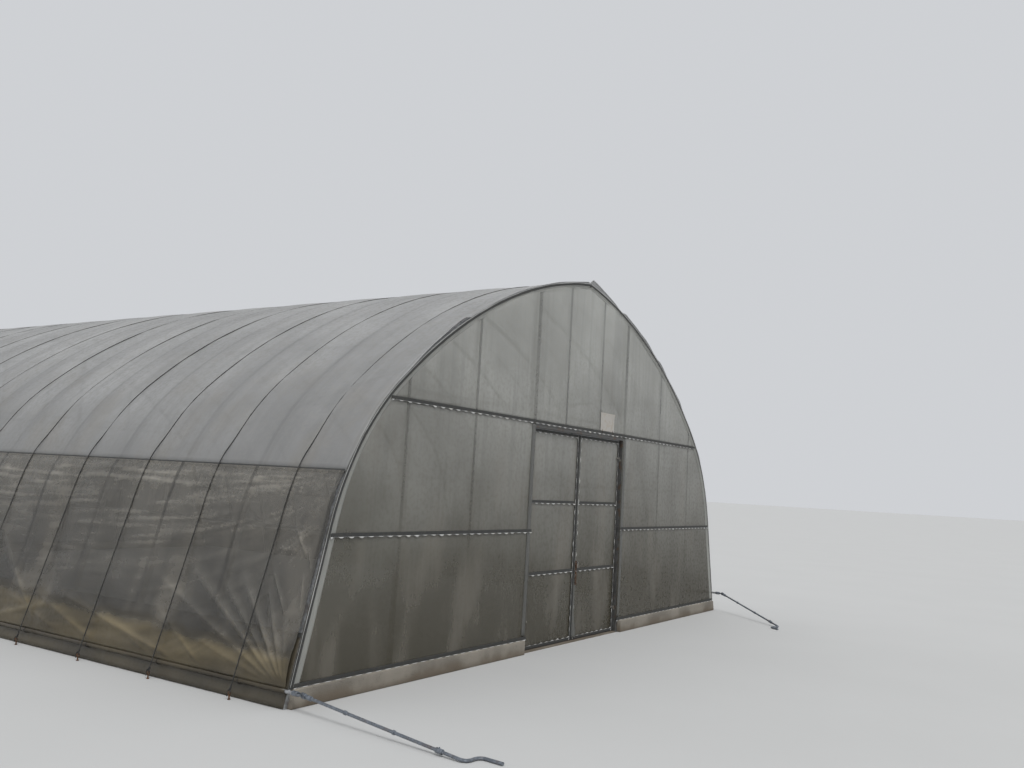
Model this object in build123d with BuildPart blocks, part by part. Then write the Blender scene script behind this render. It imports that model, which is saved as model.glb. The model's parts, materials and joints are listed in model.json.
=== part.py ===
"""Polytunnel greenhouse: steel tube arches under plastic film, with framed gables,
a pair of hinged doors, roll-up side curtains with hand cranks, and press ropes.
X runs across the tunnel, Y along it (the doors face -Y), Z up, in millimetres.
The origin is on the ground at the middle of the plan."""
import os
from math import acos, asin, atan2, ceil, cos, degrees, pi, radians, sin, sqrt, tan

from build123d import *

os.makedirs("parts", exist_ok=True)

# Plan and arch outline, taken at the outer face of the arch tube
span = 8100
ridge_height = 3800
arch_spacing = 900
bays = 12
leg_length = 1270
leg_lean = 13.7
ridge_slope = 8.1
roof_share = 2.585
arch_tube = 32
arch_run = 350

# Clearances
seat = 0.3
running_gap = 1.0

# Films, thicker than the real sheet so that they are solids
film = 3.0
roof_film_overhang = 12

# Wire-lock channels that clamp the films
channel_width = 30
channel_depth = 9
channel_floor = 2
channel_mouth = 12
channel_inner = 22
arch_channel_width = 24
arch_channel_edge = 4
curtain_rail_height = 1620
skirt_height = 480

# Long tubes and wind braces
purlin_size = 25
purlin_wall = 1.5
purlin_sides = 8
roof_purlin_height = 2800
side_purlin_height = 1200
brace_foot_height = 1470
brace_head_height = 2620
brace_bays = 3

# Gable framing
stud_size = 30
stud_wall = 2
post_size = 50
post_wall = 2.5
post_centres = 2000
inner_stud_centres = 4000
outer_stud_centres = 5900
over_door_stud_centres = 760
top_rail_height = 2220
tie_above_rail = 100
tie_size = 25
middle_rail_height = 1160
kerb_height = 130
kerb_front = 40
kerb_back = 60

# Doors
leaf_tube = 30
leaf_film = 2
leaf_recess = 45
leaf_side_gap = 8
leaf_middle_gap = 10
leaf_top_gap = 8
leaf_bottom_gap = 8
leaf_panels = 3
header_height = 35
header_drop = 20
sill_height = 12
hinges_per_leaf = 2
hinge_end_distance = 230
hinge_height = 45
barrel_diameter = 12
barrel_sides = 8
hinge_pin = 6
hinge_plate = 3
strap_length = 70
hasp_height = 800
hasp_width = 90
hasp_thickness = 4
lock_width = 34
lock_height = 44
lock_thickness = 14

# Roll-up curtain pipes and their hand cranks
pipe_diameter = 27
pipe_wall = 2
left_pipe_height = 120
right_pipe_height = 240
pipe_reach = 110
rod_diameter = 22
rod_sides = 8
rod_length = 1450
left_rod_angle = -5
right_rod_angle = 40
crank_arm = 130
crank_grip = 170
crank_bend = 45
cross_size = 18
cross_pin = 8
cheek_thickness = 8
cheek_width = 14
yoke_length = 34
yoke_plate = 8
hub_length = 45
hub_wall = 5
hub_sides = 6

# Press ropes and their ground anchors
rope_size = 8
rope_run = 450
anchor_out = 62
anchor_diameter = 22
anchor_sides = 6
anchor_height = 60

# Number plate over the door
plate_width = 330
plate_height = 200
plate_thickness = 2
plate_from_centre = 555
plate_lift = 6

# Worked-out sizes
length = bays * arch_spacing
half_span = span / 2
front = -length / 2
arch_rows = [front + row * arch_spacing for row in range(bays + 1)]
rope_rows = [row + arch_spacing / 2 for row in arch_rows[:-1]]
gable_face = arch_tube / 2
film_face = seat + film
clamp_face = film_face + seat
channel_face = clamp_face + channel_depth
curtain_face = channel_face + seat + film
gable_front = front - gable_face
post_edge = post_centres / 2 + post_size / 2
door_width = post_centres - post_size
channel_edge = -arch_channel_edge - arch_channel_width

# The outline is a leaning leg, a shoulder arc and a flatter roof arc up to the ridge.
# The arcs leave the leg and the ridge in these directions and run smoothly into each other.
# The roof share is the length of the roof arc's end tangents over that of the shoulder arc's.
lean = radians(leg_lean)
slope = radians(ridge_slope)
shoulder_x = half_span - leg_length * sin(lean)
shoulder_z = leg_length * cos(lean)
leg_way = Vector(-sin(lean), cos(lean))
ridge_way = Vector(-cos(slope), sin(slope))
climb = Vector(-shoulder_x, ridge_height - shoulder_z)
reach = climb.dot(leg_way + ridge_way * roof_share)
bend = 2 * roof_share * (1 - leg_way.dot(ridge_way))
shoulder_tangent = (sqrt(reach**2 + bend * climb.dot(climb)) - reach) / bend
roof_tangent = roof_share * shoulder_tangent
join_way = climb - leg_way * shoulder_tangent - ridge_way * roof_tangent
join_angle = atan2(-join_way.X, join_way.Y)
shoulder_radius = shoulder_tangent / tan((join_angle - lean) / 2)
roof_radius = roof_tangent / tan((pi / 2 - slope - join_angle) / 2)
shoulder_centre = (shoulder_x - shoulder_radius * cos(lean), shoulder_z - shoulder_radius * sin(lean))
roof_centre = (-roof_radius * sin(slope), ridge_height - roof_radius * cos(slope))


def upright(y):
    """Plane across the tunnel at y: X to the right, Z up, facing the front."""
    return Plane(origin=(0, y, 0), x_dir=(1, 0, 0), z_dir=(0, -1, 0))


def ridge_angle(offset):
    """Angle at which the roof arc, moved outwards by offset, meets the centre line."""
    return acos(-roof_centre[0] / (roof_radius + offset))


def half_width(height, offset=0):
    """Distance from the centre line to the outline, moved outwards by offset, at a height."""
    if height <= shoulder_z + offset * sin(lean):
        return half_span + offset / cos(lean) - height * tan(lean)
    shoulder = shoulder_radius + offset
    if height <= shoulder_centre[1] + shoulder * sin(join_angle):
        return shoulder_centre[0] + sqrt(shoulder**2 - (height - shoulder_centre[1]) ** 2)
    return roof_centre[0] + sqrt((roof_radius + offset) ** 2 - (height - roof_centre[1]) ** 2)


def wall_angle(height):
    """Angle above level of the outward direction where the outline passes a height."""
    if height <= shoulder_z:
        return lean
    if height <= shoulder_centre[1] + shoulder_radius * sin(join_angle):
        return asin((height - shoulder_centre[1]) / shoulder_radius)
    return asin((height - roof_centre[1]) / roof_radius)


def wall_point(height, offset):
    """Point (x, z) on the right-hand wall at a height, moved outwards by offset."""
    angle = wall_angle(height)
    return (half_width(height) + offset * cos(angle), height + offset * sin(angle))


def arc_angles(radius, first, last, run):
    """Angles along an arc from its first to its last, a run apart at most."""
    steps = ceil(abs(first - last) * radius / run)
    return [first + (last - first) * step / steps for step in range(steps + 1)]


def arc_points(centre, radius, angles):
    """Points of an arc at some angles."""
    return [(centre[0] + radius * cos(angle), centre[1] + radius * sin(angle)) for angle in angles]


def outline_face(offset, mode=Mode.ADD):
    """Fill the cross-section inside the outline, moved outwards by offset."""
    foot = half_span + offset / cos(lean)
    leg_top = (shoulder_x + offset * cos(lean), shoulder_z + offset * sin(lean))
    join = degrees(join_angle)
    top = degrees(ridge_angle(offset))
    with BuildLine() as edge:
        Line((foot, 0), leg_top)
        CenterArc(shoulder_centre, shoulder_radius + offset, leg_lean, join - leg_lean)
        CenterArc(roof_centre, roof_radius + offset, join, top - join)
        mirror(about=Plane.YZ)
        Line((-foot, 0), (foot, 0))
    make_face(edge.edges(), mode=mode)


def keep_between(left, right, low, high):
    """Keep only what lies between two sides and two heights in the current sketch."""
    with Locations(((left + right) / 2, (low + high) / 2)):
        Rectangle(right - left, high - low, mode=Mode.INTERSECT)


def channel_section():
    """Wire-lock channel, open to its left, with lips that hold the wire."""
    Rectangle(channel_depth, channel_width)
    mouth_x = -channel_depth / 2
    floor_x = channel_depth / 2 - channel_floor
    with BuildLine() as slot:
        Polyline(
            (mouth_x, channel_mouth / 2),
            (floor_x, channel_inner / 2),
            (floor_x, -channel_inner / 2),
            (mouth_x, -channel_mouth / 2),
            close=True,
        )
    make_face(slot.edges(), mode=Mode.SUBTRACT)


def save(part, name):
    """Label a finished piece and write its file."""
    part.label = name
    export_step(part, f"parts/{name}.step")


def save_mirrored(part, name, about):
    """Write the mirror image of a finished piece."""
    with BuildPart() as twin:
        mirror(part, about=about)
    save(twin.part, name)


# Arches: the two end arches and those between them
with BuildPart() as front_arch:
    with BuildSketch(upright(front)):
        outline_face(0)
        outline_face(-arch_tube, Mode.SUBTRACT)
    extrude(amount=arch_tube / 2, both=True)
save(front_arch.part, "front_arch")
save_mirrored(front_arch.part, "back_arch", Plane.XZ)

# The inner arches have their curves in straight runs, whose bends lie on the outline
shoulder_bends = arc_angles(shoulder_radius, lean, join_angle, arch_run)
roof_bends = arc_angles(roof_radius, join_angle, pi / 2 - slope, arch_run)


def bent_side(offset):
    """Points up the right-hand side of an inner arch, from its foot to the ridge."""
    foot = (half_span + offset / cos(lean), 0)
    shoulder = arc_points(shoulder_centre, shoulder_radius + offset, shoulder_bends)
    roof = arc_points(roof_centre, roof_radius + offset, roof_bends[1:-1])
    return [foot] + shoulder + roof + arc_points(roof_centre, roof_radius + offset, [ridge_angle(offset)])


def bend_point(height, offset):
    """Point at the bend nearest a height on the right-hand side, moved outwards by offset."""
    bends = arc_points(shoulder_centre, shoulder_radius, shoulder_bends)
    bends += arc_points(roof_centre, roof_radius, roof_bends[1:])
    nearest = min(bends, key=lambda point: abs(point[1] - height))
    return wall_point(nearest[1], offset)


with BuildPart() as inner_arches:
    with BuildSketch(*[upright(row) for row in arch_rows[1:-1]]):
        with BuildLine():
            Polyline(*bent_side(0), *reversed(bent_side(-arch_tube)), close=True)
        make_face()
        mirror(about=Plane.YZ)
    extrude(amount=arch_tube / 2, both=True)
save(inner_arches.part, "inner_arches")

# Purlins: tubes along the tunnel, clamped under the bends of the arches
purlin_offset = -arch_tube - seat - purlin_size / 2
ridge_purlin_height = roof_centre[1] + sqrt((roof_radius - arch_tube) ** 2 - roof_centre[0] ** 2)
ridge_purlin_height -= (seat + purlin_size / 2) / cos(slope)
tunnel_end = length / 2 + gable_face


def purlin_section():
    """Ring of a purlin tube in the current sketch."""
    RegularPolygon(purlin_size / 2, purlin_sides)
    RegularPolygon(purlin_size / 2 - purlin_wall, purlin_sides, mode=Mode.SUBTRACT)


def purlins(places, name):
    """Tubes from one gable face to the other."""
    with BuildPart() as tubes:
        with BuildSketch(upright(0)):
            with Locations(places):
                purlin_section()
        extrude(amount=tunnel_end, both=True)
    save(tubes.part, name)


def both_sides(point):
    """A point on the right-hand wall and its mirror image on the left."""
    return [point, (-point[0], point[1])]


purlins([(0, ridge_purlin_height)], "ridge_purlin")
purlins(both_sides(bend_point(roof_purlin_height, purlin_offset)), "roof_purlins")
purlins(both_sides(wall_point(side_purlin_height, purlin_offset)), "side_purlins")

# Wind braces: one in each corner, from the gable's shoulder down along the wall
brace_foot = bend_point(brace_foot_height, purlin_offset)
brace_head = bend_point(brace_head_height, purlin_offset)
brace_start = Vector(brace_head[0], front, brace_head[1])
brace_end = Vector(brace_foot[0], front + brace_bays * arch_spacing, brace_foot[1])
with BuildPart() as wind_braces:
    with BuildSketch(Plane(origin=brace_start, z_dir=brace_end - brace_start)):
        purlin_section()
    extrude(amount=(brace_end - brace_start).length)
    mirror(about=Plane.YZ)
    mirror(about=Plane.XZ)
save(wind_braces.part, "wind_braces")

# Gable studs and door posts: square tubes cut to the inside of the arch
gable_height = ridge_height - arch_tube


def upright_tubes(places, size, wall, low):
    """Square tubes with their fronts in the gable's face, as high as the arch lets them."""
    with BuildPart() as tubes:
        with BuildSketch(Plane.XY.offset(low)):
            with Locations([(x, gable_front + size / 2) for x in places]):
                Rectangle(size, size)
                Rectangle(size - 2 * wall, size - 2 * wall, mode=Mode.SUBTRACT)
        extrude(amount=gable_height)
        with BuildSketch(upright(front)):
            outline_face(-arch_tube - seat)
        extrude(amount=2 * size, both=True, mode=Mode.INTERSECT)
    return tubes.part


stud_centres = [outer_stud_centres, inner_stud_centres]
outer_studs = [side * centres / 2 for side in (-1, 1) for centres in stud_centres]
door_studs = [-over_door_stud_centres / 2, over_door_stud_centres / 2]
door_posts = [-post_centres / 2, post_centres / 2]
stud_low = kerb_height + seat
header_top = top_rail_height - header_drop
header_low = header_top - header_height

side_studs = upright_tubes(outer_studs, stud_size, stud_wall, stud_low)
front_posts = upright_tubes(door_posts, post_size, post_wall, 0)
with BuildPart() as front_studs:
    add(side_studs)
    add(upright_tubes(door_studs, stud_size, stud_wall, header_top + seat))
save(front_studs.part, "front_studs")
save(front_posts, "door_posts")
with BuildPart() as back_studs:
    mirror(side_studs, about=Plane.XZ)
    mirror(upright_tubes(door_studs, stud_size, stud_wall, stud_low), about=Plane.XZ)
    mirror(upright_tubes(door_posts, post_size, post_wall, stud_low), about=Plane.XZ)
save(back_studs.part, "back_studs")

# Gable ties: level square tubes behind the studs, from the arch to the door posts and between them
tie_height = top_rail_height + tie_above_rail
tie_y = gable_front + stud_size + seat + tie_size / 2
with BuildPart() as gable_ties:
    with BuildSketch(Plane.YZ):
        with Locations((tie_y, tie_height)):
            Rectangle(tie_size, tie_size)
            Rectangle(tie_size - 2 * stud_wall, tie_size - 2 * stud_wall, mode=Mode.SUBTRACT)
    extrude(amount=half_span, both=True)
    with BuildSketch(Plane.XY.offset(tie_height - tie_size)):
        with Locations([(x, tie_y) for x in door_posts]):
            Rectangle(post_size + 2 * seat, post_size)
    extrude(amount=2 * tie_size, mode=Mode.SUBTRACT)
    with BuildSketch(upright(tie_y)):
        outline_face(-arch_tube - seat)
    extrude(amount=tie_size, both=True, mode=Mode.INTERSECT)
    mirror(about=Plane.XZ)
save(gable_ties.part, "gable_ties")

# Concrete kerbs under the gables, open between the door posts
with BuildPart() as front_kerbs:
    with BuildSketch(upright(gable_front + kerb_back)):
        outline_face(-arch_tube - seat)
        keep_between(-span, span, 0, kerb_height)
        Rectangle(2 * (post_edge + seat), 2 * kerb_height, mode=Mode.SUBTRACT)
    extrude(amount=kerb_back + kerb_front)
save(front_kerbs.part, "front_kerbs")

with BuildPart() as back_kerb:
    with BuildSketch(upright(-gable_front + kerb_front)):
        outline_face(-arch_tube - seat)
        keep_between(-span, span, 0, kerb_height)
    extrude(amount=kerb_back + kerb_front)
save(back_kerb.part, "back_kerb")

# Door header and sill between the posts
with BuildPart() as door_header:
    with BuildSketch(Plane.YZ.offset(-door_width / 2 + seat)):
        with Locations((gable_front + post_size / 2, header_low + header_height / 2)):
            Rectangle(post_size, header_height)
            Rectangle(post_size - 2 * post_wall, header_height - 2 * post_wall, mode=Mode.SUBTRACT)
    extrude(amount=door_width - 2 * seat)
save(door_header.part, "door_header")

with BuildPart() as door_sill:
    with BuildSketch(Plane.XY):
        with Locations((0, gable_front + kerb_back / 2)):
            Rectangle(door_width - 2 * seat, kerb_back)
    extrude(amount=sill_height)
save(door_sill.part, "door_sill")

# Gable films: one sheet over the top rail and one each side of the door
film_plane = gable_front - seat
film_edge = -seat
seam = seat / 2


def gable_film(left, right, low, high):
    """Sheet on the front of the gable studs, inside the outline."""
    with BuildPart() as sheet:
        with BuildSketch(upright(film_plane)):
            outline_face(film_edge)
            keep_between(left, right, low, high)
        extrude(amount=film)
    return sheet.part


film_low = kerb_height + seat
over_door = gable_film(-span, span, top_rail_height + seam, ridge_height)
with BuildPart() as side_films:
    add(gable_film(-span, -door_width / 2, film_low, top_rail_height - seam))
    mirror(about=Plane.YZ)
save(side_films.part, "gable_films_side")
save(over_door, "gable_film_upper")
with BuildPart() as back_films:
    mirror(over_door, about=Plane.XZ)
    mirror(gable_film(-span, span, film_low, top_rail_height - seam), about=Plane.XZ)
save(back_films.part, "back_films")

# Wire-lock channels on the gables
channel_y = gable_front - clamp_face - channel_depth / 2
bottom_rail_height = kerb_height + seat + channel_width / 2


def rail_end(height):
    """Distance from the centre at which a level rail meets the channel on the arch."""
    return half_width(height + channel_width / 2, channel_edge) - seat


def level_rails(runs):
    """Level channels on the gable film, each given as (left, right, height)."""
    with BuildPart() as rails:
        for left, right, height in runs:
            with BuildSketch(Plane.YZ.offset(left)):
                with Locations((channel_y, height)):
                    channel_section()
            extrude(amount=right - left)
    return rails.part


top_end = rail_end(top_rail_height)
middle_end = rail_end(middle_rail_height)
bottom_end = rail_end(bottom_rail_height)
front_rails = level_rails(
    [
        (-top_end, top_end, top_rail_height),
        (-middle_end, -door_width / 2, middle_rail_height),
        (-bottom_end, -door_width / 2, bottom_rail_height),
        (door_width / 2, middle_end, middle_rail_height),
        (door_width / 2, bottom_end, bottom_rail_height),
    ]
)
back_rails = level_rails(
    [
        (-top_end, top_end, top_rail_height),
        (-middle_end, middle_end, middle_rail_height),
        (-bottom_end, bottom_end, bottom_rail_height),
    ]
)
save(front_rails, "front_rails")
save_mirrored(back_rails, "back_rails", Plane.XZ)

# Curved channels that clamp the films to the end arches
with BuildPart() as arch_channels:
    with BuildSketch(upright(gable_front - clamp_face)):
        outline_face(-arch_channel_edge)
        outline_face(channel_edge, Mode.SUBTRACT)
        keep_between(-span, span, kerb_height + seat, ridge_height)
    extrude(amount=channel_depth)
    mirror(about=Plane.XZ)
save(arch_channels.part, "arch_channels")

# Roof film from curtain rail to curtain rail, a little past both gables
roof_film_end = length / 2 + gable_face + channel_face + roof_film_overhang
with BuildPart() as roof_film:
    with BuildSketch(upright(0)):
        outline_face(film_face)
        outline_face(seat, Mode.SUBTRACT)
        keep_between(-span, span, curtain_rail_height + seam, ridge_height + span)
    extrude(amount=roof_film_end, both=True)
save(roof_film.part, "roof_film")

# Channels along the walls: the curtain rails, and lower ones that hold the skirts
wall_end = length / 2 + gable_face


def wall_channel(height, name):
    """A pair of straight channels along the walls, on the film, open outwards."""
    x, z = wall_point(height, clamp_face + channel_depth / 2)
    with BuildPart() as rails:
        with BuildSketch(upright(0)):
            with Locations(Location((x, z), 180 + degrees(wall_angle(height)))):
                channel_section()
        extrude(amount=wall_end, both=True)
        mirror(about=Plane.YZ)
    save(rails.part, name)


wall_channel(curtain_rail_height, "curtain_rails")
wall_channel(skirt_height, "skirt_rails")

# Skirts: fixed films at the foot of the walls
with BuildPart() as skirts:
    with BuildSketch(upright(0)):
        outline_face(film_face)
        outline_face(seat, Mode.SUBTRACT)
        keep_between(-span, span, 0, skirt_height + channel_width / 2)
    extrude(amount=wall_end, both=True)
save(skirts.part, "skirts")

# Curtains: films that hang from the curtain rails to the roll pipes
pipe_offset = clamp_face + pipe_diameter / 2


def curtain(side, pipe_height, name):
    """Side curtain, with the pipe that it rolls up on below it."""
    bottom = pipe_height + pipe_diameter / 2 + seat
    with BuildPart() as sheet:
        with BuildSketch(upright(0)):
            outline_face(curtain_face)
            outline_face(curtain_face - film, Mode.SUBTRACT)
            keep_between(min(0, side * span), max(0, side * span), bottom, curtain_rail_height)
        extrude(amount=wall_end, both=True)
    save(sheet.part, name)


curtain(-1, left_pipe_height, "curtain_left")
curtain(1, right_pipe_height, "curtain_right")

pipes = {"left": (-half_width(left_pipe_height, pipe_offset), left_pipe_height)}
pipes["right"] = (half_width(right_pipe_height, pipe_offset), right_pipe_height)
with BuildPart() as roll_pipes:
    with BuildSketch(upright(wall_end)):
        with Locations(*pipes.values()):
            Circle(pipe_diameter / 2)
            Circle(pipe_diameter / 2 - pipe_wall, mode=Mode.SUBTRACT)
    extrude(amount=2 * wall_end + pipe_reach)
save(roll_pipes.part, "roll_pipes")

# Universal joints between the roll pipes and the crank rods
joint_y = -wall_end - pipe_reach - yoke_plate - yoke_length
cheek_out = cross_size / 2 + running_gap + cheek_thickness / 2
hub_radius = pipe_diameter / 2 + hub_wall
with BuildPart() as pipe_yokes:
    for pipe_x, pipe_z in pipes.values():
        with BuildSketch(Plane(origin=(pipe_x, -wall_end - pipe_reach, pipe_z), z_dir=(0, -1, 0))):
            RegularPolygon(hub_radius, hub_sides)
        extrude(amount=yoke_plate)
        with BuildSketch(Plane(origin=(pipe_x, -wall_end - pipe_reach, pipe_z), z_dir=(0, 1, 0))):
            RegularPolygon(hub_radius, hub_sides)
            Circle(pipe_diameter / 2 + seat, mode=Mode.SUBTRACT)
        extrude(amount=hub_length)
        with BuildSketch(*[Plane.YZ.offset(pipe_x + turn * cheek_out) for turn in (-1, 1)]):
            with Locations((joint_y, pipe_z)):
                Circle(cheek_width / 2)
            with Locations((joint_y + yoke_length / 2, pipe_z)):
                Rectangle(yoke_length, cheek_width)
        extrude(amount=cheek_thickness / 2, both=True)
        with BuildSketch(Plane.YZ.offset(pipe_x)):
            with Locations((joint_y, pipe_z)):
                Circle(cross_pin / 2)
        extrude(amount=cheek_out, both=True)
save(pipe_yokes.part, "pipe_yokes")


def crank(side, hand, turn):
    """Crank rod that lies on the ground, with the cross of its universal joint."""
    pipe_x, pipe_z = pipes[hand]
    joint = Vector(pipe_x, joint_y, pipe_z)
    dip = degrees(asin((pipe_z - rod_diameter / 2) / (rod_length * cos(radians(turn)))))
    level = Vector(1, 0, 0)
    upward = Vector(0, 0, 1).rotate(Axis.X, dip)
    along = Vector(0, -1, 0).rotate(Axis.Z, -side * turn).rotate(Axis.X, dip)
    ahead = Vector(along.X, along.Y, 0).normalized()
    sideways = Vector(ahead.Y, -ahead.X, 0) * side
    rod_end = joint + along * rod_length
    arm_end = rod_end + sideways * crank_arm

    with BuildPart() as cross:
        with BuildSketch(Plane(origin=joint, x_dir=level, z_dir=upward)):
            Rectangle(cross_size, cross_size)
        extrude(amount=cross_size / 2, both=True)
        with BuildSketch(Plane(origin=joint, z_dir=upward)):
            Circle(cross_pin / 2)
        extrude(amount=cheek_out, both=True)
        with BuildSketch(Plane(origin=joint, z_dir=level)):
            Circle(cross_pin / 2 + seat)
        extrude(amount=cross_size, both=True, mode=Mode.SUBTRACT)

    with BuildPart() as rod:
        for lift in (-1, 1):
            with BuildSketch(Plane(origin=joint + upward * (lift * cheek_out), x_dir=along, z_dir=upward)):
                Circle(cheek_width / 2)
                with Locations((yoke_length / 2, 0)):
                    Rectangle(yoke_length, cheek_width)
            extrude(amount=cheek_thickness / 2, both=True)
        with BuildSketch(Plane(origin=joint, z_dir=upward)):
            Circle(cross_pin / 2 + seat)
        extrude(amount=2 * cheek_out, both=True, mode=Mode.SUBTRACT)
        with BuildSketch(Plane(origin=joint + along * yoke_length, x_dir=upward, z_dir=along)):
            RegularPolygon(hub_radius, hub_sides)
        extrude(amount=yoke_plate)
        with BuildLine() as route:
            FilletPolyline(
                joint + along * (yoke_length + yoke_plate / 2),
                rod_end,
                arm_end,
                arm_end + ahead * crank_grip,
                radius=crank_bend,
            )
        with BuildSketch(Plane(origin=route.line @ 0, z_dir=route.line % 0)):
            RegularPolygon(rod_diameter / 2, rod_sides)
        sweep(path=route.line)
        add(cross.part)
    save(rod.part, f"crank_{hand}")


crank(-1, "left", left_rod_angle)
crank(1, "right", right_rod_angle)

# Press ropes in the middle of each bay, from ground anchor to ground anchor
anchor_x = half_span + anchor_out
rail_top_angle = wall_angle(curtain_rail_height + channel_width / 2)


def run_lift(radius):
    """Height that the ends of a straight rope run need, so that its middle clears an arc."""
    return rope_run**2 / (8 * radius)


def rope_arc(centre, radius, first, last):
    """Points of a rope along an arc."""
    return arc_points(centre, radius, arc_angles(radius, first, last, rope_run))


def rope_side(offset):
    """Points down the right-hand side of a rope, from the ridge to its anchor."""
    on_roof = roof_radius + clamp_face + run_lift(roof_radius) + offset
    on_shoulder = shoulder_radius + clamp_face + run_lift(shoulder_radius) + offset
    over_rail = shoulder_radius + curtain_face + seat + run_lift(shoulder_radius) + offset
    roof = rope_arc(roof_centre, on_roof, ridge_angle(on_roof - roof_radius), join_angle)
    shoulder = rope_arc(shoulder_centre, on_shoulder, join_angle, rail_top_angle)
    wall = rope_arc(shoulder_centre, over_rail, rail_top_angle, lean)
    return roof[:-1] + shoulder[:-1] + wall + [(anchor_x + offset, anchor_height + seat)]


with BuildPart() as press_ropes:
    outer_points = rope_side(rope_size)
    inner_points = rope_side(0)
    with BuildSketch(*[upright(row) for row in rope_rows]):
        with BuildLine():
            Polyline(*outer_points, *reversed(inner_points), close=True)
        make_face()
        mirror(about=Plane.YZ)
    extrude(amount=rope_size / 2, both=True)
save(press_ropes.part, "press_ropes")

with BuildPart() as rope_anchors:
    with BuildSketch(Plane.XY):
        with Locations([(side * (anchor_x + rope_size / 2), row) for row in rope_rows for side in (-1, 1)]):
            RegularPolygon(anchor_diameter / 2, anchor_sides)
    extrude(amount=anchor_height)
save(rope_anchors.part, "rope_anchors")

# Door leaves: welded square tubes in equal panels, with film on the outside
leaf_width = (door_width - 2 * leaf_side_gap - leaf_middle_gap) / 2
leaf_low = sill_height + leaf_bottom_gap
leaf_high = header_low - leaf_top_gap
leaf_height = leaf_high - leaf_low
leaf_front = gable_front + leaf_recess
leaf_inner = leaf_middle_gap / 2
leaf_outer = leaf_inner + leaf_width
rail_step = (leaf_height - leaf_tube) / leaf_panels
channel_front = leaf_front - seat - channel_depth
frame_plane = upright(leaf_front + leaf_film + seat + leaf_tube)
hinge_x = door_width / 2 - running_gap - barrel_diameter / 2
hinge_y = channel_front - seat - barrel_diameter / 2
hinge_step = (leaf_height - 2 * hinge_end_distance) / (hinges_per_leaf - 1)
hinge_lows = [leaf_low + hinge_end_distance + hinge_step * row for row in range(hinges_per_leaf)]

with BuildPart() as right_frame:
    with BuildSketch(frame_plane):
        with Locations((leaf_inner + leaf_width / 2, leaf_low + leaf_height / 2)):
            Rectangle(leaf_width, leaf_height)
            with GridLocations(0, rail_step, 1, leaf_panels):
                Rectangle(leaf_width - 2 * leaf_tube, rail_step - leaf_tube, mode=Mode.SUBTRACT)
    extrude(amount=leaf_tube)
save(right_frame.part, "door_right_frame")
save_mirrored(right_frame.part, "door_left_frame", Plane.YZ)

with BuildPart() as right_leaf_film:
    with BuildSketch(upright(leaf_front + leaf_film)):
        with Locations((leaf_inner + leaf_width / 2, leaf_low + leaf_height / 2)):
            Rectangle(leaf_width, leaf_height)
    extrude(amount=leaf_film)
save(right_leaf_film.part, "door_right_film")
save_mirrored(right_leaf_film.part, "door_left_film", Plane.YZ)

# Wire-lock channels all round each leaf and along its rails
with BuildPart() as right_channels:
    with BuildSketch(Plane.XY.offset(leaf_low)):
        for x in (leaf_inner + leaf_tube / 2, leaf_outer - leaf_tube / 2):
            with Locations(Location((x, channel_front + channel_depth / 2), 90)):
                channel_section()
    extrude(amount=leaf_height)
    with BuildSketch(Plane.YZ.offset(leaf_inner + leaf_tube + seat)):
        for rail in range(leaf_panels + 1):
            rail_height = leaf_low + leaf_tube / 2 + rail * rail_step
            with Locations((channel_front + channel_depth / 2, rail_height)):
                channel_section()
    extrude(amount=leaf_width - 2 * leaf_tube - 2 * seat)
save(right_channels.part, "door_right_channels")
save_mirrored(right_channels.part, "door_left_channels", Plane.YZ)

# Lift-off hinges: pins welded to the posts, eyes on straps on the leaves
with BuildPart() as hinge_pins:
    for low in hinge_lows:
        with BuildSketch(Plane.XY.offset(low)):
            with Locations((hinge_x, hinge_y)):
                RegularPolygon(barrel_diameter / 2, barrel_sides)
            with Locations((door_width / 2 - seat - hinge_plate / 2, hinge_y - barrel_diameter / 2)):
                Rectangle(hinge_plate, 2 * barrel_diameter)
        extrude(amount=hinge_height / 2)
        with BuildSketch(Plane.XY.offset(low)):
            with Locations((hinge_x, hinge_y)):
                Circle(hinge_pin / 2)
        extrude(amount=hinge_height)
    mirror(about=Plane.YZ)
save(hinge_pins.part, "hinge_pins")

with BuildPart() as right_eyes:
    for low in hinge_lows:
        with BuildSketch(Plane.XY.offset(low + hinge_height / 2 + running_gap)):
            with Locations((hinge_x, hinge_y)):
                RegularPolygon(barrel_diameter / 2, barrel_sides)
            with Locations((hinge_x - strap_length / 2, channel_front - seat - hinge_plate / 2)):
                Rectangle(strap_length, hinge_plate)
            with Locations((hinge_x, hinge_y)):
                Circle(hinge_pin / 2 + seat, mode=Mode.SUBTRACT)
        extrude(amount=hinge_height / 2 - 2 * running_gap)
save(right_eyes.part, "hinge_eyes_right")
save_mirrored(right_eyes.part, "hinge_eyes_left", Plane.YZ)

# Hasp with its padlock on the edge of the right leaf
hasp_y = channel_front - seat
with BuildPart() as door_hasp:
    with BuildSketch(upright(hasp_y)):
        with Locations((leaf_inner + hasp_width / 2, hasp_height)):
            Rectangle(hasp_width, leaf_tube)
    extrude(amount=hasp_thickness)
    with BuildSketch(upright(hasp_y - hasp_thickness)):
        with Locations((leaf_inner + hasp_width / 2, hasp_height - lock_height / 2)):
            RectangleRounded(lock_width, lock_height, lock_width / 6)
    extrude(amount=lock_thickness)
save(door_hasp.part, "door_hasp")

# Number plate wired to the top rail beside the door's centre
with BuildPart() as number_plate:
    plate_low = top_rail_height + channel_width / 2 + plate_lift
    with BuildSketch(upright(gable_front - clamp_face)):
        with Locations((plate_from_centre, plate_low + plate_height / 2)):
            Rectangle(plate_width, plate_height)
    extrude(amount=plate_thickness)
save(number_plate.part, "number_plate")
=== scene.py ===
import json
from math import asin, atan2, cos, pi, radians, sin, sqrt, tan

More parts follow.
